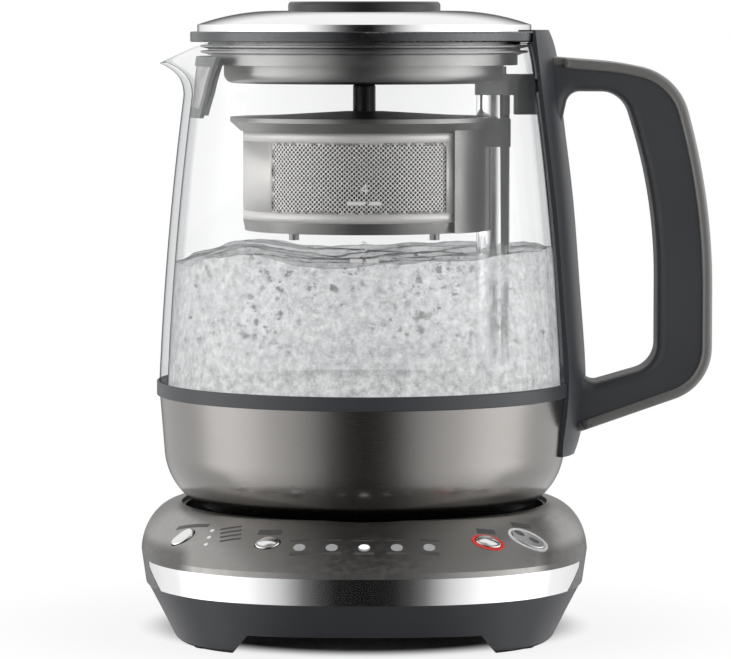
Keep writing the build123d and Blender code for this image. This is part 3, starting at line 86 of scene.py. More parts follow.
def coordinates(tree, kind="Object"):
    """The x, y and z of a point in its object's frame, or of a direction in the world's."""
    place = tree.nodes.new("ShaderNodeTexCoord")
    split = tree.nodes.new("ShaderNodeSeparateXYZ")
    tree.links.new(place.outputs[kind], split.inputs["Vector"])
    return split.outputs["X"], split.outputs["Y"], split.outputs["Z"]


def ranged(tree, value, ends, low, high):
    """A range node that maps a value between two ends to low..high."""
    node = tree.nodes.new("ShaderNodeMapRange")
    node.inputs["From Min"].default_value = ends[0]
    node.inputs["From Max"].default_value = ends[1]
    node.inputs["To Min"].default_value = low
    node.inputs["To Max"].default_value = high
    tree.links.new(value, node.inputs["Value"])
    return node


NOISE_SPAN = (0.3, 0.7)


def spread(tree, value, low, high):
    """Maps the span where most of a noise's levels lie to a range."""
    return ranged(tree, value, NOISE_SPAN, low, high).outputs["Result"]


def stepped(tree, value, low, high, first, second):
    """Maps a value smoothly from one range to another."""
    node = ranged(tree, value, (low, high), first, second)
    node.interpolation_type = "SMOOTHSTEP"
    return node.outputs["Result"]


def combined(tree, operation, first, second):
    """The result of a math node on two values, each a socket or a float."""
    node = tree.nodes.new("ShaderNodeMath")
    node.operation = operation
    for value, socket in ((first, node.inputs[0]), (second, node.inputs[1])):
        if isinstance(value, float):
            socket.default_value = value
        else:
            tree.links.new(value, socket)
    return node.outputs[0]


def between(tree, share, first, second):
    """A colour between two by a share; each is a socket or a triple."""
    node = tree.nodes.new("ShaderNodeMix")
    node.data_type = "RGBA"
    for colour, socket in ((first, node.inputs["A"]), (second, node.inputs["B"])):
        if isinstance(colour, tuple):
            socket.default_value = (*colour, 1)
        else:
            tree.links.new(colour, socket)
    tree.links.new(share, node.inputs["Factor"])
    return node.outputs["Result"]


def layered(tree, share, first, second):
    """A mix of two shaders by a share."""
    node = tree.nodes.new("ShaderNodeMixShader")
    tree.links.new(share, node.inputs["Fac"])
    tree.links.new(first, node.inputs[1])
    tree.links.new(second, node.inputs[2])
    return node.outputs["Shader"]


def bump_from(tree, value, strength, distance):
    """A normal roughened by a level, with its depth in metres."""
    node = tree.nodes.new("ShaderNodeBump")
    node.inputs["Strength"].default_value = strength
    node.inputs["Distance"].default_value = distance
    tree.links.new(value, node.inputs["Height"])
    return node.outputs["Normal"]


def scaled(colour, factor):
    """A colour times a factor, held at white."""
    return tuple(min(v * factor, 1) for v in colour)


def facing_of(tree):
    """A gloss share: 0 where a surface is seen straight on, 1 where it is seen on edge."""
    node = tree.nodes.new("ShaderNodeLayerWeight")
    node.inputs["Blend"].default_value = 0.5
    return node.outputs["Facing"]


def see_through(tree, facing, colour, roughness, straight, glancing, normal=None):
    """A clear wall in a colour, which mirrors a share that is the same from either of its sides."""
    clear = tree.nodes.new("ShaderNodeBsdfTransparent")
    tree.links.new(colour, clear.inputs["Color"])
    mirror = tree.nodes.new("ShaderNodeBsdfGlossy")
    mirror.inputs["Roughness"].default_value = roughness
    if normal is not None:
        tree.links.new(normal, mirror.inputs["Normal"])
    steep = combined(tree, "POWER", facing, 5.0)
    share = combined(tree, "ADD", combined(tree, "MULTIPLY", steep, glancing), straight)
    return layered(tree, share, clear.outputs["BSDF"], mirror.outputs["BSDF"])


# ---- Materials


GRAIN_DEPTH = 0.00008
POLISH_DEPTH = 0.00002
RUBBER_DEPTH = 0.00005


def plastic(name, colour, roughness=0.42, grain=2600, relief=0.06, coat=0.0):
    """Moulded plastic: a fine spark-eroded grain, and broad faint shade changes."""
    material, tree, shader = principled(name)
    broad = noise_node(tree, 22, 2.0)
    fine = noise_node(tree, grain, 2.0)
    shades = between(tree, broad, scaled(colour, 0.93), scaled(colour, 1.07))
    gloss = spread(tree, broad, roughness * 0.92, roughness * 1.08)
    tree.links.new(shades, shader.inputs["Base Color"])
    tree.links.new(gloss, shader.inputs["Roughness"])
    tree.links.new(bump_from(tree, fine, relief, GRAIN_DEPTH), shader.inputs["Normal"])
    shader.inputs["Coat Weight"].default_value = coat
    shader.inputs["Coat Roughness"].default_value = 0.12
    return material


def metal(name, colour, roughness, stretch=(1, 1, 1), lines=900, relief=0.02, coat=0.0, metallic=1.0):
    """Metal with a directional polish: fine lines stretched along one axis, and faint smudges."""
    material, tree, shader = principled(name)
    shader.inputs["Metallic"].default_value = metallic
    broad = noise_node(tree, 18, 3.0)
    fine = noise_node(tree, lines, 3.0, stretch)
    shades = between(tree, broad, scaled(colour, 0.96), scaled(colour, 1.04))
    gloss = spread(tree, fine, roughness * 0.85, roughness * 1.15)
    tree.links.new(shades, shader.inputs["Base Color"])
    tree.links.new(gloss, shader.inputs["Roughness"])
    tree.links.new(bump_from(tree, fine, relief, POLISH_DEPTH), shader.inputs["Normal"])
    shader.inputs["Coat Weight"].default_value = coat
    shader.inputs["Coat Roughness"].default_value = 0.05
    return material


def rubber(name, colour, roughness=0.6, clear=0.0):
    """Soft rubber or silicone, which may let some light through."""
    material, tree, shader = principled(name)
    fine = noise_node(tree, 1800, 2.0)
    tree.links.new(between(tree, fine, scaled(colour, 0.9), colour), shader.inputs["Base Color"])
    tree.links.new(spread(tree, fine, roughness * 0.9, roughness * 1.1), shader.inputs["Roughness"])
    tree.links.new(bump_from(tree, fine, 0.05, RUBBER_DEPTH), shader.inputs["Normal"])
    shader.inputs["Transmission Weight"].default_value = clear
    shader.inputs["IOR"].default_value = 1.41
    return material


def printed(name, colour):
    """Plain printing ink."""
    material, tree, shader = principled(name)
    fine = noise_node(tree, 5000, 2.0)
    tree.links.new(between(tree, fine, scaled(colour, 0.94), colour), shader.inputs["Base Color"])
    shader.inputs["Roughness"].default_value = 0.5
    return material


def lit(name, colour, glow, strength):
    """A small window: a smoked lens with a soft light behind it."""
    material, tree, shader = principled(name)
    fine = noise_node(tree, 900, 2.0)
    tree.links.new(between(tree, fine, scaled(colour, 0.85), colour), shader.inputs["Base Color"])
    shader.inputs["Roughness"].default_value = 0.25
    shader.inputs["Coat Weight"].default_value = 0.6
    shader.inputs["Emission Color"].default_value = (*glow, 1)
    shader.inputs["Emission Strength"].default_value = strength
    return material


def darkened(material, dark, share):
    """Turns a principled material's colour dark by a share from its own tree."""
    tree = material.node_tree
    shader = next(node for node in tree.nodes if node.type == "BSDF_PRINCIPLED")
    colour = shader.inputs["Base Color"].links[0].from_socket
    tree.links.new(between(tree, share, colour, dark), shader.inputs["Base Color"])


SHOULDER_BLUR = 0.003
SHOULDER_BELOW, SHOULDER_ABOVE = 0.0025, 0.0015


def painted_shoulder_reflection(material, dark, side, height):
    """Paints a dark reflection on a metal low on its two shoulders, past a distance to each side and under
    a height.
    """
    tree = material.node_tree
    x, _, z = coordinates(tree)
    distance = combined(tree, "ABSOLUTE", x, 0.0)
    aside = stepped(tree, distance, side - SHOULDER_BLUR, side + SHOULDER_BLUR, 0.0, 1.0)
    low = stepped(tree, z, height - SHOULDER_BELOW, height + SHOULDER_ABOVE, 1.0, 0.0)
    darkened(material, dark, combined(tree, "MULTIPLY", aside, low))


STRIP_END_BLUR = 0.0003


def painted_strip_end_shade(material, dark, back):
    """Paints shade on a metal beyond a distance to the back: the shaded gap at the end of a strip."""
    tree = material.node_tree
    y = coordinates(tree)[1]
    darkened(material, dark, stepped(tree, y, back - STRIP_END_BLUR, back, 0.0, 1.0))


GLASS_SLANT = (0.66, 0.74)
GLASS_EDGE = (0.84, 0.95)
GLASS_PLAIN = ((0.978, 0.98, 0.98), (0.995, 0.995, 0.995))


def glass(name, wall, edge):
    """Clear glass: it dims a little where its wall is seen on the slant, and more at its very edge."""
    material = bpy.data.materials.new(name)
    tree, out = tree_of(material)
    facing = facing_of(tree)
    colour = between(tree, noise_node(tree, 9, 2.0), *GLASS_PLAIN)
    colour = between(tree, stepped(tree, facing, *GLASS_SLANT, 0.0, 1.0), colour, wall)
    colour = between(tree, stepped(tree, facing, *GLASS_EDGE, 0.0, 1.0), colour, edge)
    shader = see_through(tree, facing, colour, 0.03, 0.025, 0.3)
    tree.links.new(shader, out.inputs["Surface"])
    return material


slate = plastic("slate_plastic", (0.045, 0.048, 0.055), 0.38)
grip_slate = plastic("grip_plastic", (0.06, 0.062, 0.068), 0.42)
housing_slate = plastic("housing_plastic", (0.034, 0.036, 0.042), 0.42)
rim_slate = metal("lid_rim_finish", (0.105, 0.107, 0.112), 0.28, (1, 1, 1), 300, 0.0)
black = plastic("black_plastic", (0.012, 0.012, 0.013), 0.4)
knob_black = plastic("knob_plastic", (0.02, 0.02, 0.022), 0.33)
plug_grey = metal("plug_finish", (0.32, 0.32, 0.315), 0.33, (1, 1, 1), 60, 0.0)
seal_grey = metal("seal_finish", (0.3, 0.3, 0.3), 0.33, (1, 1, 1), 60, 0.0)
basket_grey = metal("basket_frame_finish", (0.27, 0.268, 0.262), 0.36, (1, 1, 1), 120, 0.0)
mid_grey = plastic("bracket_plastic", (0.22, 0.225, 0.23), 0.4)
pale = plastic("pale_plastic", (0.62, 0.62, 0.6), 0.5)
white_gloss = plastic("white_plastic", (0.8, 0.8, 0.8), 0.2, coat=0.5)
button_bright = metal("button_finish", (0.78, 0.78, 0.78), 0.12, (1, 1, 1), 300, 0.0)
button_pale = metal("start_button_finish", (0.6, 0.6, 0.6), 0.3, (1, 1, 1), 300, 0.01)
button_dark = plastic("button_plastic", (0.09, 0.088, 0.086), 0.3, coat=0.5)
board_green = plastic("circuit_board", (0.02, 0.12, 0.05), 0.45)
gunmetal = metal("gunmetal", (0.26, 0.25, 0.24), 0.24, (1, 1, 40), 260, 0.003, coat=0.12)
deck_metal = metal("deck_gunmetal", (0.34, 0.332, 0.32), 0.36, (1, 1, 1), 400, 0.0, coat=0.06)
# Painted reflection: the deck turns dark low on its shoulders, where its rounded metal mirrors dark
# surroundings.
painted_shoulder_reflection(deck_metal, (0.13, 0.127, 0.123), 0.063, 0.0365)
cover_metal = metal("cover_gunmetal", (0.24, 0.236, 0.23), 0.3, (1, 1, 1), 60, 0.0, coat=0.35, metallic=0.2)
chrome = metal("chrome", (0.88, 0.88, 0.885), 0.05, (1, 1, 1), 300, 0.0)
strip_chrome = metal("strip_chrome", (0.85, 0.85, 0.86), 0.07, (1, 1, 30), 200, 0.004)
# Painted shade: the chrome strip turns near black for its last few millimetres at each end, for the shade
# in the gap there.
STRIP_END_SHADE_WIDTH = 0.0028
painted_strip_end_shade(strip_chrome, (0.01, 0.01, 0.01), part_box("base_trim_strip")[1].y - STRIP_END_SHADE_WIDTH)
plate_chrome = metal("plate_chrome", (0.86, 0.86, 0.87), 0.08, (1, 1, 1), 200, 0.004)
steel = metal("brushed_steel", (0.6, 0.59, 0.575), 0.24, (1, 1, 30), 300, 0.03)
wall_steel = metal("basket_steel", (0.84, 0.825, 0.8), 0.4, (1, 1, 25), 260, 0.003, metallic=0.3)
brass = metal("brass", (0.78, 0.6, 0.28), 0.25)
aluminium = metal("aluminium", (0.75, 0.75, 0.76), 0.35)
foot_rubber = rubber("foot_rubber", (0.02, 0.02, 0.02), 0.7)
silicone = rubber("silicone", (0.72, 0.73, 0.73), 0.35, 0.55)
jug_glass = glass("jug_glass", (0.85, 0.86, 0.865), (0.36, 0.37, 0.38))
red_ring = lit("red_ring", (0.55, 0.02, 0.015), (1.0, 0.05, 0.03), 0.25)
white_ring = lit("white_ring", (0.7, 0.7, 0.71), (1, 1, 1), 0.1)
smoked = lit("smoked_window", (0.42, 0.42, 0.43), (1, 1, 1), 0.12)
small_lit = lit("small_window", (0.6, 0.6, 0.61), (1, 1, 1), 0.3)
glowing = lit("lit_window", (0.85, 0.85, 0.86), (1, 1, 1), 0.9)
white_ink = printed("white_ink", (0.82, 0.82, 0.82))
dark_ink = printed("dark_ink", (0.1, 0.1, 0.1))

looks = {
    "base_housing": housing_slate,
    "base_top_plate": deck_metal,
    "base_trim_strip": strip_chrome,
    "base_bottom_plate": housing_slate,
    "base_screws": steel,
    "base_feet": foot_rubber,
    "cord_gland": black,
    "jug_well": black,
    "base_connector": black,
    "base_contacts": brass,
    "power_board": board_green,
    "switch_carrier": pale,
    "button_switches": black,
    "strength_button": button_bright,
    "tea_kind_button": button_bright,
    "keep_warm_button": button_bright,
    "start_button": button_pale,
    "keep_warm_ring": red_ring,
    "start_ring": white_ring,
    "temperature_lights": smoked,
    "strength_lights": small_lit,
    "glass_body": jug_glass,
    "jug_bowl": gunmetal,
    "jug_floor": steel,
    "floor_seal": silicone,
    "jug_trim_band": slate,
    "jug_bottom_cap": black,
    "cap_screws": steel,
    "jug_coupler": black,
    "coupler_contacts": brass,
    "heat_spreader": aluminium,
    "heating_element": steel,
    "temperature_sensor": steel,
    "jug_board": board_green,
    "basket_post": chrome,
    "post_bracket": mid_grey,
    "post_cap": white_gloss,
    "screw_bearing": brass,
    "lead_screw": steel,
    "screw_coupling": steel,
    "lift_motor": steel,
    "motor_mount": steel,
    "drive_nut": pale,
    "basket_carriage": slate,
    "carriage_magnets": steel,
    "basket_frame": basket_grey,
    "basket_wall": wall_steel,
    "basket_floor": steel,
    "basket_lid": black,
    "lid_plug": plug_grey,
    "lid_seal": seal_grey,
    "lid_rim": rim_slate,
    "lid_plate": plate_chrome,
    "lid_knob": knob_black,
    "knob_screw": steel,
    "handle_spine": slate,
    "handle_grip": grip_slate,
    "handle_cover": cover_metal,
    "spout_filter": mid_grey,
    "spout_filter_mesh": steel,
}
for name, material in looks.items():
    mesh = nodes[name].data
    mesh.materials.clear()
    mesh.materials.append(material)


# ---- Mesh helpers


def new_object(name, mesh, material, body):
    """A piece in the scene, with its material, that rides on a body."""
    piece = bpy.data.objects.new(name, mesh)
    bpy.context.scene.collection.objects.link(piece)
    mesh.materials.append(material)
    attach(piece, body)
    return piece


def mesh_from(name, vertices, faces, smooth=True):
    """A mesh from lists of points and faces."""
    mesh = bpy.data.meshes.new(name)
    mesh.from_pydata(vertices, [], faces)
    if smooth:
        mesh.polygons.foreach_set("use_smooth", [True] * len(mesh.polygons))
    mesh.update()
    return mesh


def fan_and_rings(faces, rings, spokes):
    """Faces of a round sheet whose points are its middle, then ring after ring."""
    for j in range(spokes):
        faces.append((0, 1 + j, 1 + (j + 1) % spokes))
    for i in range(rings - 1):
        for j in range(spokes):
            a, b = 1 + i * spokes + j, 1 + i * spokes + (j + 1) % spokes
            faces.append((a, a + spokes, b + spokes, b))


def turn_outward(mesh):
    """Points all faces of a mesh the same way, outward where it is closed."""
    bm = bmesh.new()
    bm.from_mesh(mesh)
    bmesh.ops.recalc_face_normals(bm, faces=bm.faces)
    bm.to_mesh(mesh)
    bm.free()


def lookup_of(node):
    """A search tree over one node's own faces."""
    mesh = nodes[node].data
    return BVHTree.FromPolygons([v.co for v in mesh.vertices], [p.vertices for p in mesh.polygons])


# ---- The basket's perforated wall


BASKET_RADIUS = 0.0445
FLAT_X = 0.0326
FLAT_TURN = math.acos(FLAT_X / BASKET_RADIUS)
HOLES_FROM, HOLES_TO = math.radians(-48), math.radians(41)
SHEET = 0.0005
HOLE_SIDES = 8
STEP_TURN = math.radians(3)
WALL_LOW, WALL_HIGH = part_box("basket_wall")[0].z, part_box("basket_wall")[1].z
HOLES_LOW, HOLES_HIGH = 0.1537, 0.1790
PITCH = 0.00172
HOLE = 0.00047


def around(turn, height):
    """A point on the basket's wall; the turn counts from the front, towards the handle."""
    return Vector((BASKET_RADIUS * math.sin(turn), -BASKET_RADIUS * math.cos(turn), height))


def quad_strip(faces, vertices, turns, low, high):
    """A plain band of wall between two heights."""
    start = len(vertices)
    for turn in turns:
        vertices.append(around(turn, low))
        vertices.append(around(turn, high))
    for i in range(len(turns) - 1):
        a = start + 2 * i
        faces.append((a, a + 2, a + 3, a + 1))


def steps(first, last):
    """Turns from one to another in equal small steps."""
    count = max(2, math.ceil(abs(last - first) / STEP_TURN))
    return [first + (last - first) * i / count for i in range(count + 1)]


def hole_zone(faces, vertices, first, last):
    """A rectangle of wall full of staggered round holes, made of diamond cells."""
    columns = round((last - first) * BASKET_RADIUS / PITCH)
    wide = (last - first) / columns
    rows = 2 * round((HOLES_HIGH - HOLES_LOW) / PITCH) - 1
    tall = (HOLES_HIGH - HOLES_LOW) / (rows + 1)
    known = {}

    def vertex(turn, height):
        """The index of a point on the wall, which neighbouring cells share."""
        key = (round(turn, 7), round(height, 8))
        if key not in known:
            known[key] = len(vertices)
            vertices.append(around(turn, height))
        return known[key]

    for row in range(rows):
        height = HOLES_LOW + tall * (row + 1)
        odd = row % 2
        for column in range(columns - odd):
            middle = first + (column + 0.5 + odd / 2) * wide
            corners = [
                (middle, height - tall),
                (middle + wide / 2, height),
                (middle, height + tall),
                (middle - wide / 2, height),
            ]
            rim, inner = [], []
            for i, corner in enumerate(corners):
                after = corners[(i + 1) % 4]
                rim.append(corner)
                rim.append(((corner[0] + after[0]) / 2, (corner[1] + after[1]) / 2))
            for i in range(HOLE_SIDES):
                turn = 2 * math.pi * i / HOLE_SIDES - math.pi / 2
                aside = HOLE * math.cos(turn) / BASKET_RADIUS
                inner.append((middle + aside, height + HOLE * math.sin(turn)))
            for i in range(HOLE_SIDES):
                j = (i + 1) % HOLE_SIDES
                faces.append((vertex(*rim[i]), vertex(*rim[j]), vertex(*inner[j]), vertex(*inner[i])))
        for turn, side in ((first, 1), (last, -1)):
            if odd:
                corners = [(turn, height - tall), (turn + side * wide / 2, height), (turn, height + tall)]
                faces.append(tuple(vertex(*corner) for corner in corners))
    for column in range(columns - 1):
        left = first + (column + 0.5) * wide
        for edge, inward in ((HOLES_LOW, tall), (HOLES_HIGH, -tall)):
            corners = [(left, edge), (left + wide / 2, edge + inward), (left + wide, edge)]
            faces.append(tuple(vertex(*corner) for corner in corners))
    for side, turn in ((1, first), (-1, last)):
        for edge, inward in ((HOLES_LOW, tall), (HOLES_HIGH, -tall)):
            corners = [(turn, edge), (turn + side * wide / 2, edge), (turn, edge + inward)]
            faces.append(tuple(vertex(*corner) for corner in corners))


def perforated_wall():
    """The basket's steel wall with its fine holes in front, cut straight beside the post."""
    vertices, faces = [], []
    flat_first = math.pi / 2 - FLAT_TURN
    flat_last = math.pi / 2 + FLAT_TURN
    round_first = flat_last - 2 * math.pi
    full = steps(round_first, flat_first)
    quad_strip(faces, vertices, full, WALL_LOW, HOLES_LOW)
    quad_strip(faces, vertices, full, HOLES_HIGH, WALL_HIGH)
    for first, last in ((round_first, HOLES_FROM), (HOLES_TO, flat_first)):
        quad_strip(faces, vertices, steps(first, last), HOLES_LOW, HOLES_HIGH)
    hole_zone(faces, vertices, HOLES_FROM, HOLES_TO)
    start = len(vertices)
    front, back = around(flat_first, 0), around(flat_last, 0)
    for place in (front, back):
        vertices.append(Vector((place.x, place.y, WALL_LOW)))
        vertices.append(Vector((place.x, place.y, WALL_HIGH)))
    faces.append((start, start + 2, start + 3, start + 1))
    mesh = mesh_from("basket_wall_sheet", [tuple(v) for v in vertices], faces)
    turn_outward(mesh)
    wall = new_object("perforated_wall", mesh, wall_steel, "basket")
    thick = wall.modifiers.new("sheet", "SOLIDIFY")
    thick.thickness = SHEET
    thick.offset = -1.0
    return wall


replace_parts(perforated_wall(), "basket_wall")


# ---- The glass, with its pouring lip


GLASS_LOW, GLASS_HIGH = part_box("glass_body")[0].z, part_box("glass_body")[1].z
LIP_FOOT = 0.1935
LIP_DROP = 0.0073
LIP_HALF_TURN = math.radians(25)
LIP_TIP = -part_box("glass_body")[0].x
LIP_REACH_POWER, LIP_DROP_POWER = 2.4, 1.6
GLASS_ROWS, GLASS_COLUMNS = 64, 160
GLASS_MARGIN = 0.0004
OUTSIDE_GLASS = 0.2


def wall_radii(lookup, height):
    """Outside and inside radius of the glass, read away from its lip."""
    outside = lookup.ray_cast(Vector((0, OUTSIDE_GLASS, height)), Vector((0, -1, 0)))[0].y
    inside = lookup.ray_cast(Vector((0, 0, height)), Vector((0, 1, 0)))[0].y
    return outside, inside


def lip_point(radius, height, turn, reach):
    """A point of the wall, drawn out towards the tip where the turn lies in the lip."""
    off = turn - math.pi
    share = max(0.0, 1 - (off / LIP_HALF_TURN) ** 2) ** 2
    climb = max(0.0, (height - LIP_FOOT) / (GLASS_HIGH - LIP_FOOT))
    radius += reach * share * climb**LIP_REACH_POWER
    height -= LIP_DROP * share * climb**LIP_DROP_POWER
    return (-radius * math.cos(off), -radius * math.sin(off), height)


def smooth_glass():
    """The jug's glass as one double wall, its lip in one soft curve."""
    lookup = lookup_of("glass_body")
    low, high = GLASS_LOW + GLASS_MARGIN, GLASS_HIGH - GLASS_MARGIN
    heights = [low + (high - low) * i / (GLASS_ROWS - 1) for i in range(GLASS_ROWS)]
    walls = [wall_radii(lookup, height) for height in heights]
    rim_radius, rim_inside = walls[-1]
    reach = LIP_TIP - rim_radius
    profile = [(inside, height) for (_, inside), height in zip(walls, heights)][::-1]
    profile += [(outside, height) for (outside, _), height in zip(walls, heights)]
    profile.append(((rim_radius + rim_inside) / 2, GLASS_HIGH))
    vertices, faces = [], []
    for radius, height in profile:
        for j in range(GLASS_COLUMNS):
            vertices.append(lip_point(radius, height, 2 * math.pi * j / GLASS_COLUMNS, reach))
    count = len(profile)
    for i in range(count):
        for j in range(GLASS_COLUMNS):
            k = (j + 1) % GLASS_COLUMNS
            a, b = i * GLASS_COLUMNS, (i + 1) % count * GLASS_COLUMNS
            faces.append((a + j, a + k, b + k, b + j))
    mesh = mesh_from("smooth_glass", vertices, faces)
    return new_object("smooth_glass", mesh, jug_glass, "jug")


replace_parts(smooth_glass(), "glass_body")


# ---- Level marks printed on the glass


MARKS_LOW, MARKS_HIGH = 0.088, 0.196
FOOT_RADIUS, SHOULDER_RADIUS = 0.0756, 0.0662
WALL_BOW = 0.0012
MARK_LIFT = 0.00008
MARK_SIZE = 0.0052
BAR_PART = 0.0015


def glass_radius(height):
    """Outside radius of the glass, from the heights and widths of its ends and a slight bow."""
    part = (height - MARKS_LOW) / (MARKS_HIGH - MARKS_LOW)
    return FOOT_RADIUS + (SHOULDER_RADIUS - FOOT_RADIUS) * part + 4 * WALL_BOW * part * (1 - part)


def wrapped(mesh, centre_height):
    """Lays a flat mesh, drawn in x and y, round the glass in front."""
    for vertex in mesh.vertices:
        height = centre_height + vertex.co.y
        radius = glass_radius(height) + MARK_LIFT
        turn = vertex.co.x / radius
        vertex.co = Vector((radius * math.sin(turn), -radius * math.cos(turn), height))
    mesh.update()


def numeral(name, text, height):
    """A printed figure, bent round the glass."""
    curve = bpy.data.curves.new(name, "FONT")
    curve.body = text
    curve.size = MARK_SIZE
    curve.align_x = "CENTER"
    curve.align_y = "CENTER"
    curve.extrude = 0
    temporary = bpy.data.objects.new(name + "_draft", curve)
    bpy.context.scene.collection.objects.link(temporary)
    bpy.context.view_layer.update()
    mesh = bpy.data.meshes.new_from_object(temporary)
    bpy.data.objects.remove(temporary)
    wrapped(mesh, height)
    return new_object(name, mesh, white_ink, "jug")


def mark_bars(name, height, widths, thickness, gap):
    """A row of short printed bars in place of words, bent round the glass."""
    vertices, faces = [], []
    total = sum(widths) + gap * (len(widths) - 1)
    left = -total / 2
    for width in widths:
        parts = max(1, math.ceil(width / BAR_PART))
        for i in range(parts):
            a = left + width * i / parts
            b = left + width * (i + 1) / parts
            start = len(vertices)
            half = thickness / 2
            vertices += [(a, -half, 0), (b, -half, 0), (b, half, 0), (a, half, 0)]
            faces.append((start, start + 1, start + 2, start + 3))
        left += width + gap
    mesh = mesh_from(name, vertices, faces, smooth=False)
    wrapped(mesh, height)
    return new_object(name, mesh, white_ink, "jug")


numeral("level_4", "4", 0.1634)
mark_bars("level_4_line", 0.1587, (0.0065, 0.0045), 0.0012, 0.0012)
numeral("level_3", "3", 0.1434)
mark_bars("level_3_line", 0.1387, (0.0045, 0.0045), 0.0012, 0.0012)


# ---- Prints, caps and lights on the control panel


panel = lookup_of("base_top_plate")
PRINT_LIFT = 0.00006
ABOVE_PANEL = 0.09
BAR_PARTS = 8
DOME_RINGS, DOME_SPOKES = 6, 28
DOME_LIFT = 0.00002


def dropped(lookup, x, y, lift):
    """The point above (x, y) on a node's upper side, lifted a little off it."""
    place, normal, _, _ = lookup.ray_cast(Vector((x, y, ABOVE_PANEL)), Vector((0, 0, -1)))
    if normal.z < 0:
        normal = -normal
    return place + normal * lift


def panel_bar(name, centre, length, width, turn=0.0):
    """A short printed bar that lies on the panel; its turn is seen from above."""
    along = Vector((math.cos(turn), math.sin(turn), 0))
    across = Vector((-along.y, along.x, 0))
    vertices = []
    for i in range(BAR_PARTS + 1):
        for side in (-0.5, 0.5):
            spot = Vector((*centre, 0)) + along * length * (i / BAR_PARTS - 0.5) + across * width * side
            vertices.append(dropped(panel, spot.x, spot.y, PRINT_LIFT))
    faces = [(2 * i, 2 * i + 2, 2 * i + 3, 2 * i + 1) for i in range(BAR_PARTS)]
    mesh = mesh_from(name, [tuple(v) for v in vertices], faces, smooth=False)
    return new_object(name, mesh, dark_ink, "base")


def dome(name, node, body, centre, radii, rise, material, slot):
    """A shallow crowned oval on top of a button or window."""
    lookup = lookup_of(node)
    top = dropped(lookup, *centre, 0)
    vertices, faces = [tuple(top + Vector((0, 0, rise)))], []
    for i in range(1, DOME_RINGS + 1):
        share = i / DOME_RINGS
        for j in range(DOME_SPOKES):
            turn = 2 * math.pi * j / DOME_SPOKES
            x = centre[0] + radii[0] * share * math.cos(turn)
            y = centre[1] + radii[1] * share * math.sin(turn)
            spot = dropped(lookup, x, y, DOME_LIFT)
            vertices.append((x, y, spot.z + rise * (1 - share**2)))
    fan_and_rings(faces, DOME_RINGS, DOME_SPOKES)
    return new_object(name, mesh_from(name, vertices, faces), material, body)


def middle_of(node):
    """The middle of a node's box."""
    low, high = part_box(node)
    return (low + high) / 2


strength, kind = middle_of("strength_button"), middle_of("tea_kind_button")
warm, start_at = middle_of("keep_warm_button"), middle_of("start_button")
CROWN_RADII, CROWN_RISE = (0.0040, 0.0029), 0.0007
for button, middle in (("strength", strength), ("tea_kind", kind), ("keep_warm", warm)):
    node = f"{button}_button"
    place = (middle.x, middle.y)
    dome(f"{button}_crown", node, node, place, CROWN_RADII, CROWN_RISE, button_bright, "bright_trim")

PAD_SHIFT, PAD_SLOPE = 0.0026, 0.12
PAD_RADII, PAD_RISE = (0.0019, 0.0012), 0.0002
for side, shift in (("left", -PAD_SHIFT), ("right", PAD_SHIFT)):
    place = (start_at.x + shift, start_at.y - shift * PAD_SLOPE)
    name = f"start_pad_{side}"
    dome(name, "start_button", "start_button", place, PAD_RADII, PAD_RISE, button_dark, "button_plastic")

# Each label's place from its button's middle, its length, its width and its turn.
panel_bar("strength_label", (strength.x + 0.0028, strength.y + 0.0040), 0.0145, 0.0017, math.radians(-36))
panel_bar("kind_label", (kind.x + 0.0006, kind.y + 0.0056), 0.0086, 0.0026, math.radians(-13))
panel_bar("warm_label", (warm.x - 0.0004, warm.y + 0.0056), 0.0068, 0.0026, math.radians(14))
panel_bar("start_label", (start_at.x - 0.0018, start_at.y + 0.0070), 0.0076, 0.0024, math.radians(22))

WINDOWS = 5
WINDOW_PITCH = 0.0114
WINDOW_IN, WINDOW_BEND = 0.0025, 0.0015
WINDOW_RADII, WINDOW_RISE = (0.0019, 0.0016), 0.0002
LABEL_LENGTH = 0.0068
HIGH_LABEL, HIGH_LABEL_WIDTH = 0.0033, 0.0007
LOW_LABEL, LOW_LABEL_WIDTH = 0.0038, 0.0017
windows_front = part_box("temperature_lights")[0].y
for i in range(WINDOWS):
    x = (i - (WINDOWS - 1) / 2) * WINDOW_PITCH
    y = windows_front + WINDOW_IN + WINDOW_BEND * (x / (2 * WINDOW_PITCH)) ** 2
    panel_bar(f"window_label_high_{i}", (x, y + HIGH_LABEL), LABEL_LENGTH, HIGH_LABEL_WIDTH)
    panel_bar(f"window_label_low_{i}", (x, y - LOW_LABEL), LABEL_LENGTH, LOW_LABEL_WIDTH)
    if i == WINDOWS // 2:
        shape = ((x, y), WINDOW_RADII, WINDOW_RISE)
        dome("window_lit", "temperature_lights", "base", *shape, glowing, "light_windows")

WORDS = 4
WORD_ASIDE, WORD_START, WORD_SPAN = 0.0052, 0.0035, 0.75
WORD_LENGTH, WORD_WIDTH = 0.0078, 0.0008
WORD_TURN = math.radians(-12)
small_low, small_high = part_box("strength_lights")
for i in range(WORDS):
    x = small_high.x + WORD_ASIDE
    y = small_high.y - WORD_START - WORD_SPAN * (small_high.y - small_low.y) * i / (WORDS - 1)
    panel_bar(f"strength_word_{i}", (x, y), WORD_LENGTH, WORD_WIDTH, WORD_TURN)


# ---- The handle's rounded metal edges


FLANK_WIDTH = 0.0036
FLANK_BULGE = 0.0011
FLANK_POWER = 0.8
FLANK_STEPS = 9
FLANK_GAP, FLANK_IN, FLANK_UNDER = 0.0003, 0.0001, 0.0012
FLANK_LIFT, FLANK_SINK = 0.00005, 0.0002
GRIP_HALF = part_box("handle_grip")[1].y
COVER_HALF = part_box("handle_cover")[1].y
HANDLE_EYE = Vector((0.098, 0, 0.148))
OUTLINE_POINTS = 110
OUTLINE_TURN = 126
RAY_START, RAY_LENGTH = 0.2, 0.19
LEAST_FACING = 0.45


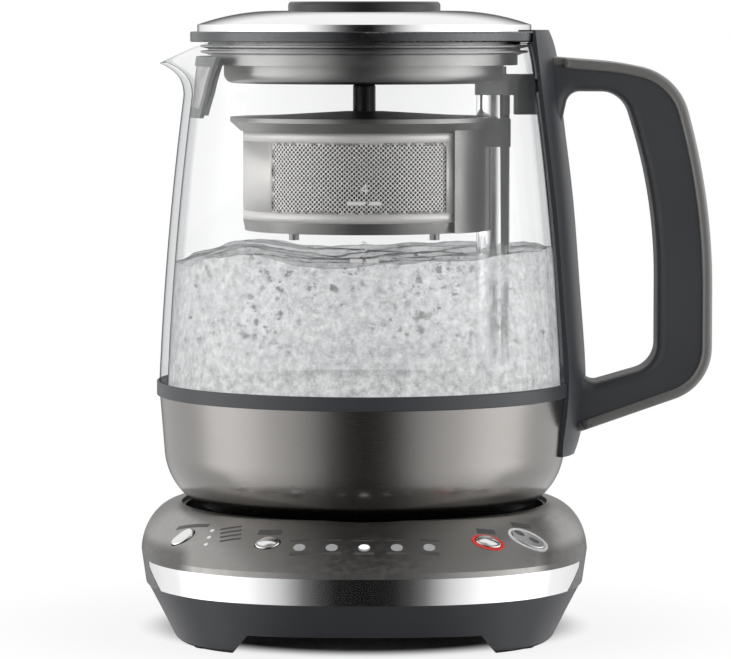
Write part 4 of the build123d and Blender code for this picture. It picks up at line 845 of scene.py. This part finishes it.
def cover_outline():
    """Points along the cover's outer edge from top root to lower root, with their outward directions."""
    lookup = lookup_of("handle_cover")
    points = []
    for i in range(OUTLINE_POINTS):
        turn = math.radians(OUTLINE_TURN - 2 * OUTLINE_TURN * i / (OUTLINE_POINTS - 1))
        ray = Vector((math.cos(turn), 0, math.sin(turn)))
        place, normal, _, _ = lookup.ray_cast(HANDLE_EYE + ray * RAY_START, -ray, RAY_LENGTH)
        if place is None or normal.dot(ray) < LEAST_FACING:
            continue
        normal = Vector((normal.x, 0, normal.z)).normalized()
        points.append((place, normal))
    return points


def flank(name, side):
    """A band that rounds off the handle's outer edge on one side, closed against the grip."""
    section = [(FLANK_IN, COVER_HALF - FLANK_UNDER)]
    for i in range(FLANK_STEPS + 1):
        turn = math.pi * i / FLANK_STEPS
        inset = FLANK_WIDTH * (1 - math.cos(turn)) / 2 + FLANK_GAP
        section.append((inset, GRIP_HALF + FLANK_LIFT + FLANK_BULGE * math.sin(turn) ** FLANK_POWER))
    section.append((FLANK_WIDTH, GRIP_HALF - FLANK_SINK))
    vertices, faces = [], []
    outline = cover_outline()
    for place, normal in outline:
        for inset, height in section:
            spot = place - normal * inset
            vertices.append((spot.x, side * height, spot.z))
    width = len(section)
    for i in range(len(outline) - 1):
        for j in range(width):
            k = (j + 1) % width
            faces.append((i * width + j, i * width + k, (i + 1) * width + k, (i + 1) * width + j))
    faces.append(tuple(range(width)))
    faces.append(tuple(range((len(outline) - 1) * width, len(outline) * width)))
    mesh = mesh_from(name, vertices, faces)
    turn_outward(mesh)
    return new_object(name, mesh, cover_metal, "jug")


flank("handle_flank_front", -1)
flank("handle_flank_back", 1)


# ---- Boiling water, which is not part of the object


WATER_LEVEL = 0.1368
CREST_X, CREST_WIDTH, CREST_RISE = -0.044, 0.017, 0.0052
SWELL_RISE = 0.0032
FOAM_LOW, FOAM_HIGH = 0.095, 0.112
SWELL_WIDTH = 0.07
RIPPLE_RISE, RIPPLE_SCALE = 0.002, 60
FINE_RISE, FINE_SCALE = 0.0006, 190
FOAM_GLOW_AT_FOOT = 0.85
PATCH_LEVELS = (0.45, 0.62)
PATCH_SHARES = (0.25, 0.75)


def water_top(x, y):
    """Height of the rolling water over a point: a crest on the left, and a swell towards the handle."""
    place = Vector((x, y, 0))
    crest = CREST_RISE * math.exp(-(((x - CREST_X) / CREST_WIDTH) ** 2))
    swell = SWELL_RISE * x / SWELL_WIDTH
    ripple = noise.noise(place * RIPPLE_SCALE + Vector((9.2, 1.4, 5.0)))
    fine = noise.noise(place * FINE_SCALE + Vector((2.2, 8.4, 6.0)))
    return WATER_LEVEL + crest + swell + RIPPLE_RISE * ripple + FINE_RISE * fine


def water_material():
    """Water full of fine bubbles: partly clear, with white foam in patches and towards its foot, painted as
    a glow that stands in for the light the foam scatters.
    """
    material = bpy.data.materials.new("water")
    tree, out = tree_of(material)
    cloud = noise_node(tree, 290, 9.0, roughness=0.78)
    patches = noise_node(tree, 55, 5.0, roughness=0.6)
    mottle = spread(tree, cloud, 0.0, 1.0)
    colour = between(tree, mottle, (0.8, 0.81, 0.82), (1.0, 1.0, 1.0))
    normal = bump_from(tree, cloud, 0.6, 0.001)
    wet = see_through(tree, facing_of(tree), colour, 0.12, 0.05, 0.3, normal)
    # Painted light: the foam is an emission, so it glows white whatever light reaches it.
    foam_glow = tree.nodes.new("ShaderNodeEmission")
    tree.links.new(between(tree, mottle, (0.3, 0.305, 0.31), (0.98, 0.985, 0.99)), foam_glow.inputs["Color"])
    low = stepped(tree, coordinates(tree)[2], FOAM_LOW, FOAM_HIGH, FOAM_GLOW_AT_FOOT, 0.0)
    white = stepped(tree, patches, *PATCH_LEVELS, *PATCH_SHARES)
    shader = layered(tree, combined(tree, "MAXIMUM", low, white), wet, foam_glow.outputs["Emission"])
    tree.links.new(shader, out.inputs["Surface"])
    return material


def surface_material():
    """The water's top, which mirrors the underside of the basket."""
    material = bpy.data.materials.new("water_surface")
    tree, out = tree_of(material)
    colour = between(tree, noise_node(tree, 60, 4.0), (0.52, 0.53, 0.54), (0.82, 0.82, 0.82))
    shader = see_through(tree, facing_of(tree), colour, 0.08, 0.03, 0.45)
    tree.links.new(shader, out.inputs["Surface"])
    return material


def bubble_material():
    """A bubble in water: clear in the middle and grey round its edge."""
    material = bpy.data.materials.new("bubbles")
    tree, out = tree_of(material)
    facing = facing_of(tree)
    edge = combined(tree, "POWER", facing, 2.5)
    colour = between(tree, edge, (1.0, 1.0, 1.0), (0.86, 0.865, 0.87))
    shader = see_through(tree, facing, colour, 0.15, 0.08, 0.5)
    tree.links.new(shader, out.inputs["Surface"])
    return material


GLASS_WALL = 0.0033
WATER_RINGS, WATER_SPOKES = 26, 96
WATER_HEIGHTS = (0.125, 0.112, 0.1, 0.0885)


def glass_inside(height):
    """Inside radius of the glass, the same below the lowest mark's foot."""
    return glass_radius(max(height, MARKS_LOW)) - GLASS_WALL


def build_water():
    """A round sheet for the rolling top, with a skirt down the inside of the glass."""
    spokes = WATER_SPOKES
    vertices, faces = [(0, 0, water_top(0, 0))], []
    for i in range(1, WATER_RINGS + 1):
        for j in range(spokes):
            turn = 2 * math.pi * j / spokes
            radius = glass_inside(WATER_LEVEL) * i / WATER_RINGS
            x, y = radius * math.cos(turn), radius * math.sin(turn)
            vertices.append((x, y, water_top(x, y)))
    fan_and_rings(faces, WATER_RINGS, spokes)
    last = 1 + (WATER_RINGS - 1) * spokes
    for height in WATER_HEIGHTS:
        start = len(vertices)
        radius = glass_inside(height)
        for j in range(spokes):
            turn = 2 * math.pi * j / spokes
            vertices.append((radius * math.cos(turn), radius * math.sin(turn), height))
        for j in range(spokes):
            k = (j + 1) % spokes
            faces.append((last + j, start + j, start + k, last + k))
        last = start
    mesh = mesh_from("water", vertices, faces)
    mesh.materials.append(water_material())
    mesh.materials.append(surface_material())
    for face in mesh.polygons[: spokes * WATER_RINGS]:
        face.material_index = 1
    water = bpy.data.objects.new("water", mesh)
    bpy.context.scene.collection.objects.link(water)
    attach(water, "jug")
    return water


BUBBLES = 2200
BUBBLE_LOW, BUBBLE_HIGH = 0.0885, 0.142
BUBBLE_INWARD = 0.35
BUBBLE_CLEARANCE, BUBBLE_DEPTH = 0.002, 0.001
CROWD_SCALE = 55
CROWD_LOW, CROWD_HIGH = -0.45, 0.25
BUBBLE_LEAST, BUBBLE_MORE, BUBBLE_POWER = 0.00035, 0.0012, 3
FLAT_LOW, FLAT_HIGH = 0.75, 1.0


def build_bubbles():
    """Bubbles crowding the water but clear of the post, most of them close to the glass, in one mesh."""
    ball = bmesh.new()
    bmesh.ops.create_icosphere(ball, subdivisions=2, radius=1.0)
    shape = [v.co.copy() for v in ball.verts]
    triangles = [tuple(v.index for v in f.verts) for f in ball.faces]
    ball.free()
    post_low, post_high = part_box("basket_post")
    post = (post_low + post_high) / 2
    post_radius = (post_high.y - post_low.y) / 2
    vertices, faces = [], []
    made = 0
    while made < BUBBLES:
        height = random.uniform(BUBBLE_LOW, BUBBLE_HIGH)
        turn = random.uniform(0, 2 * math.pi)
        reach = glass_inside(height) * math.sqrt(random.uniform(BUBBLE_INWARD, 1)) - BUBBLE_CLEARANCE
        x, y = reach * math.cos(turn), reach * math.sin(turn)
        if height > water_top(x, y) - BUBBLE_DEPTH:
            continue
        crowd = noise.noise(Vector((x, y, height)) * CROWD_SCALE)
        if crowd < random.uniform(CROWD_LOW, CROWD_HIGH):
            continue
        size = BUBBLE_LEAST + BUBBLE_MORE * random.random() ** BUBBLE_POWER
        flat = random.uniform(FLAT_LOW, FLAT_HIGH)
        if math.hypot(x - post.x, y - post.y) < post_radius + size:
            continue
        start = len(vertices)
        for corner in shape:
            vertices.append((x + corner.x * size, y + corner.y * size, height + corner.z * size * flat))
        faces += [(start + a, start + b, start + c) for a, b, c in triangles]
        made += 1
    mesh = mesh_from("bubbles", vertices, faces)
    mesh.materials.append(bubble_material())
    bubbles = bpy.data.objects.new("bubbles", mesh)
    bpy.context.scene.collection.objects.link(bubbles)
    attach(bubbles, "jug")
    return bubbles


build_water()
build_bubbles()


# ---- Camera, light and floor


# The camera was fitted to the photo: its focal length and the photo's width are in pixels.
FOCAL_PIXELS = 4218
PHOTO_WIDTH = 731
SENSOR = 36.0
EYE = (0.00044, -1.55, 0.2220)
EYE_DIP = 4.16


def add_camera():
    """The photo's viewpoint."""
    data = bpy.data.cameras.new("camera")
    data.sensor_width = SENSOR
    data.lens = FOCAL_PIXELS * SENSOR / PHOTO_WIDTH
    camera = bpy.data.objects.new("camera", data)
    bpy.context.scene.collection.objects.link(camera)
    camera.location = EYE
    camera.rotation_euler = (math.radians(90 - EYE_DIP), 0, 0)
    data.clip_start = 0.05
    data.clip_end = 60
    bpy.context.scene.camera = camera


add_camera()


STUDIO_PEAK = 2.4
# How bright the studio is, as a share of its peak, against how far to a side a direction points.
FRONT_STUDIO = (
    (0.0, 0.003), (0.1, 0.006), (0.2, 0.03), (0.3, 0.08), (0.4, 0.2), (0.5, 0.33), (0.6, 0.42), (0.8, 0.6),
    (0.97, 1.0),
)
BACK_STUDIO = ((0.0, 0.05), (0.22, 0.08), (0.42, 0.34), (0.6, 0.4), (0.9, 0.5), (0.96, 0.58), (0.975, 1.0))
CEILING = 1.02
CEILING_RISE = (0.1, 0.4)
SIDE_FROM, SIDE_TO = 0.9, 0.97
HORIZON_BLUR = 0.03


def ramp_of(tree, value, stops):
    """Levels between stops, from a value in 0..1."""
    node = tree.nodes.new("ShaderNodeValToRGB")
    ramp = node.color_ramp
    while len(ramp.elements) < len(stops):
        ramp.elements.new(0.5)
    for element, (place, level) in zip(ramp.elements, stops):
        element.position = place
        element.color = (level, level, level, 1)
    tree.links.new(value, node.inputs["Fac"])
    return node.outputs["Color"]


def level_between(tree, share, first, second):
    """A level between two by a share, all three sockets."""
    node = tree.nodes.new("ShaderNodeMix")
    tree.links.new(share, node.inputs["Factor"])
    tree.links.new(first, node.inputs["A"])
    tree.links.new(second, node.inputs["B"])
    return node.outputs["Result"]


def studio_light(tree):
    """The studio round the object: dark in front, bright at both sides, grey behind, white above."""
    x, y, z = coordinates(tree, "Generated")
    aside = combined(tree, "ABSOLUTE", x, 0.0)
    front = combined(tree, "MULTIPLY", ramp_of(tree, aside, FRONT_STUDIO), STUDIO_PEAK)
    low_back = combined(tree, "MULTIPLY", ramp_of(tree, aside, BACK_STUDIO), STUDIO_PEAK)
    high_back = stepped(tree, aside, SIDE_FROM, SIDE_TO, CEILING, STUDIO_PEAK)
    back = level_between(tree, stepped(tree, z, *CEILING_RISE, 0.0, 1.0), low_back, high_back)
    behind = stepped(tree, y, -HORIZON_BLUR, HORIZON_BLUR, 0.0, 1.0)
    return level_between(tree, behind, front, back)


def seen_by_eye(tree):
    """1 for what the camera sees, also through clear things; 0 for light on its way to a surface."""
    path = tree.nodes.new("ShaderNodeLightPath")
    return combined(tree, "MAXIMUM", path.outputs["Is Camera Ray"], path.outputs["Is Transmission Ray"])


def add_world():
    """The studio that lights the object, and plain white where the camera looks past it."""
    world = bpy.data.worlds.new("studio")
    bpy.context.scene.world = world
    world.use_nodes = True
    tree = world.node_tree
    tree.nodes.clear()
    out = tree.nodes.new("ShaderNodeOutputWorld")
    white = tree.nodes.new("ShaderNodeBackground")
    white.inputs["Color"].default_value = (1, 1, 1, 1)
    white.inputs["Strength"].default_value = 1.0
    room = tree.nodes.new("ShaderNodeBackground")
    room.inputs["Color"].default_value = (1, 1, 1, 1)
    tree.links.new(studio_light(tree), room.inputs["Strength"])
    both = layered(tree, seen_by_eye(tree), room.outputs["Background"], white.outputs["Background"])
    tree.links.new(both, out.inputs["Surface"])


add_world()


FLOOR_REACH = 6.0
FLOOR_UNDER = 0.064
FLOOR_NEAR = 0.086
FLOOR_FAR = 0.17
FLOOR_NEAR_WHITE = 0.88


def floor_white(tree):
    """How white the floor shows: none under the object, most of the way beside it, and all further out."""
    place = tree.nodes.new("ShaderNodeTexCoord")
    length = tree.nodes.new("ShaderNodeVectorMath")
    length.operation = "LENGTH"
    tree.links.new(place.outputs["Object"], length.inputs[0])
    distance = length.outputs["Value"]
    beside = stepped(tree, distance, FLOOR_UNDER, FLOOR_NEAR, 0.0, FLOOR_NEAR_WHITE)
    beyond = stepped(tree, distance, FLOOR_NEAR, FLOOR_FAR, 0.0, 1.0 - FLOOR_NEAR_WHITE)
    return combined(tree, "MULTIPLY", combined(tree, "ADD", beside, beyond), seen_by_eye(tree))


def floor_material():
    """A pale table that keeps the object's shadow, and that bright metal sees as a soft mirror."""
    material = bpy.data.materials.new("floor")
    tree, out = tree_of(material)
    matte = tree.nodes.new("ShaderNodeBsdfDiffuse")
    matte.inputs["Color"].default_value = (0.8, 0.8, 0.8, 1)
    gloss = tree.nodes.new("ShaderNodeBsdfGlossy")
    gloss.inputs["Color"].default_value = (0.92, 0.92, 0.92, 1)
    gloss.inputs["Roughness"].default_value = 0.1
    white = tree.nodes.new("ShaderNodeEmission")
    white.inputs["Strength"].default_value = 1.0
    plain = layered(tree, floor_white(tree), matte.outputs["BSDF"], white.outputs["Emission"])
    path = tree.nodes.new("ShaderNodeLightPath")
    seen = layered(tree, path.outputs["Is Glossy Ray"], plain, gloss.outputs["BSDF"])
    tree.links.new(seen, out.inputs["Surface"])
    return material


def add_floor():
    """The table, wide enough to reach past every view."""
    mesh = bpy.data.meshes.new("floor")
    reach = FLOOR_REACH
    corners = [(-reach, -reach, 0), (reach, -reach, 0), (reach, reach, 0), (-reach, reach, 0)]
    mesh.from_pydata(corners, [], [(0, 1, 2, 3)])
    mesh.materials.append(floor_material())
    floor = bpy.data.objects.new("floor", mesh)
    bpy.context.scene.collection.objects.link(floor)


add_floor()

scene = bpy.context.scene
scene.view_settings.view_transform = "Standard"
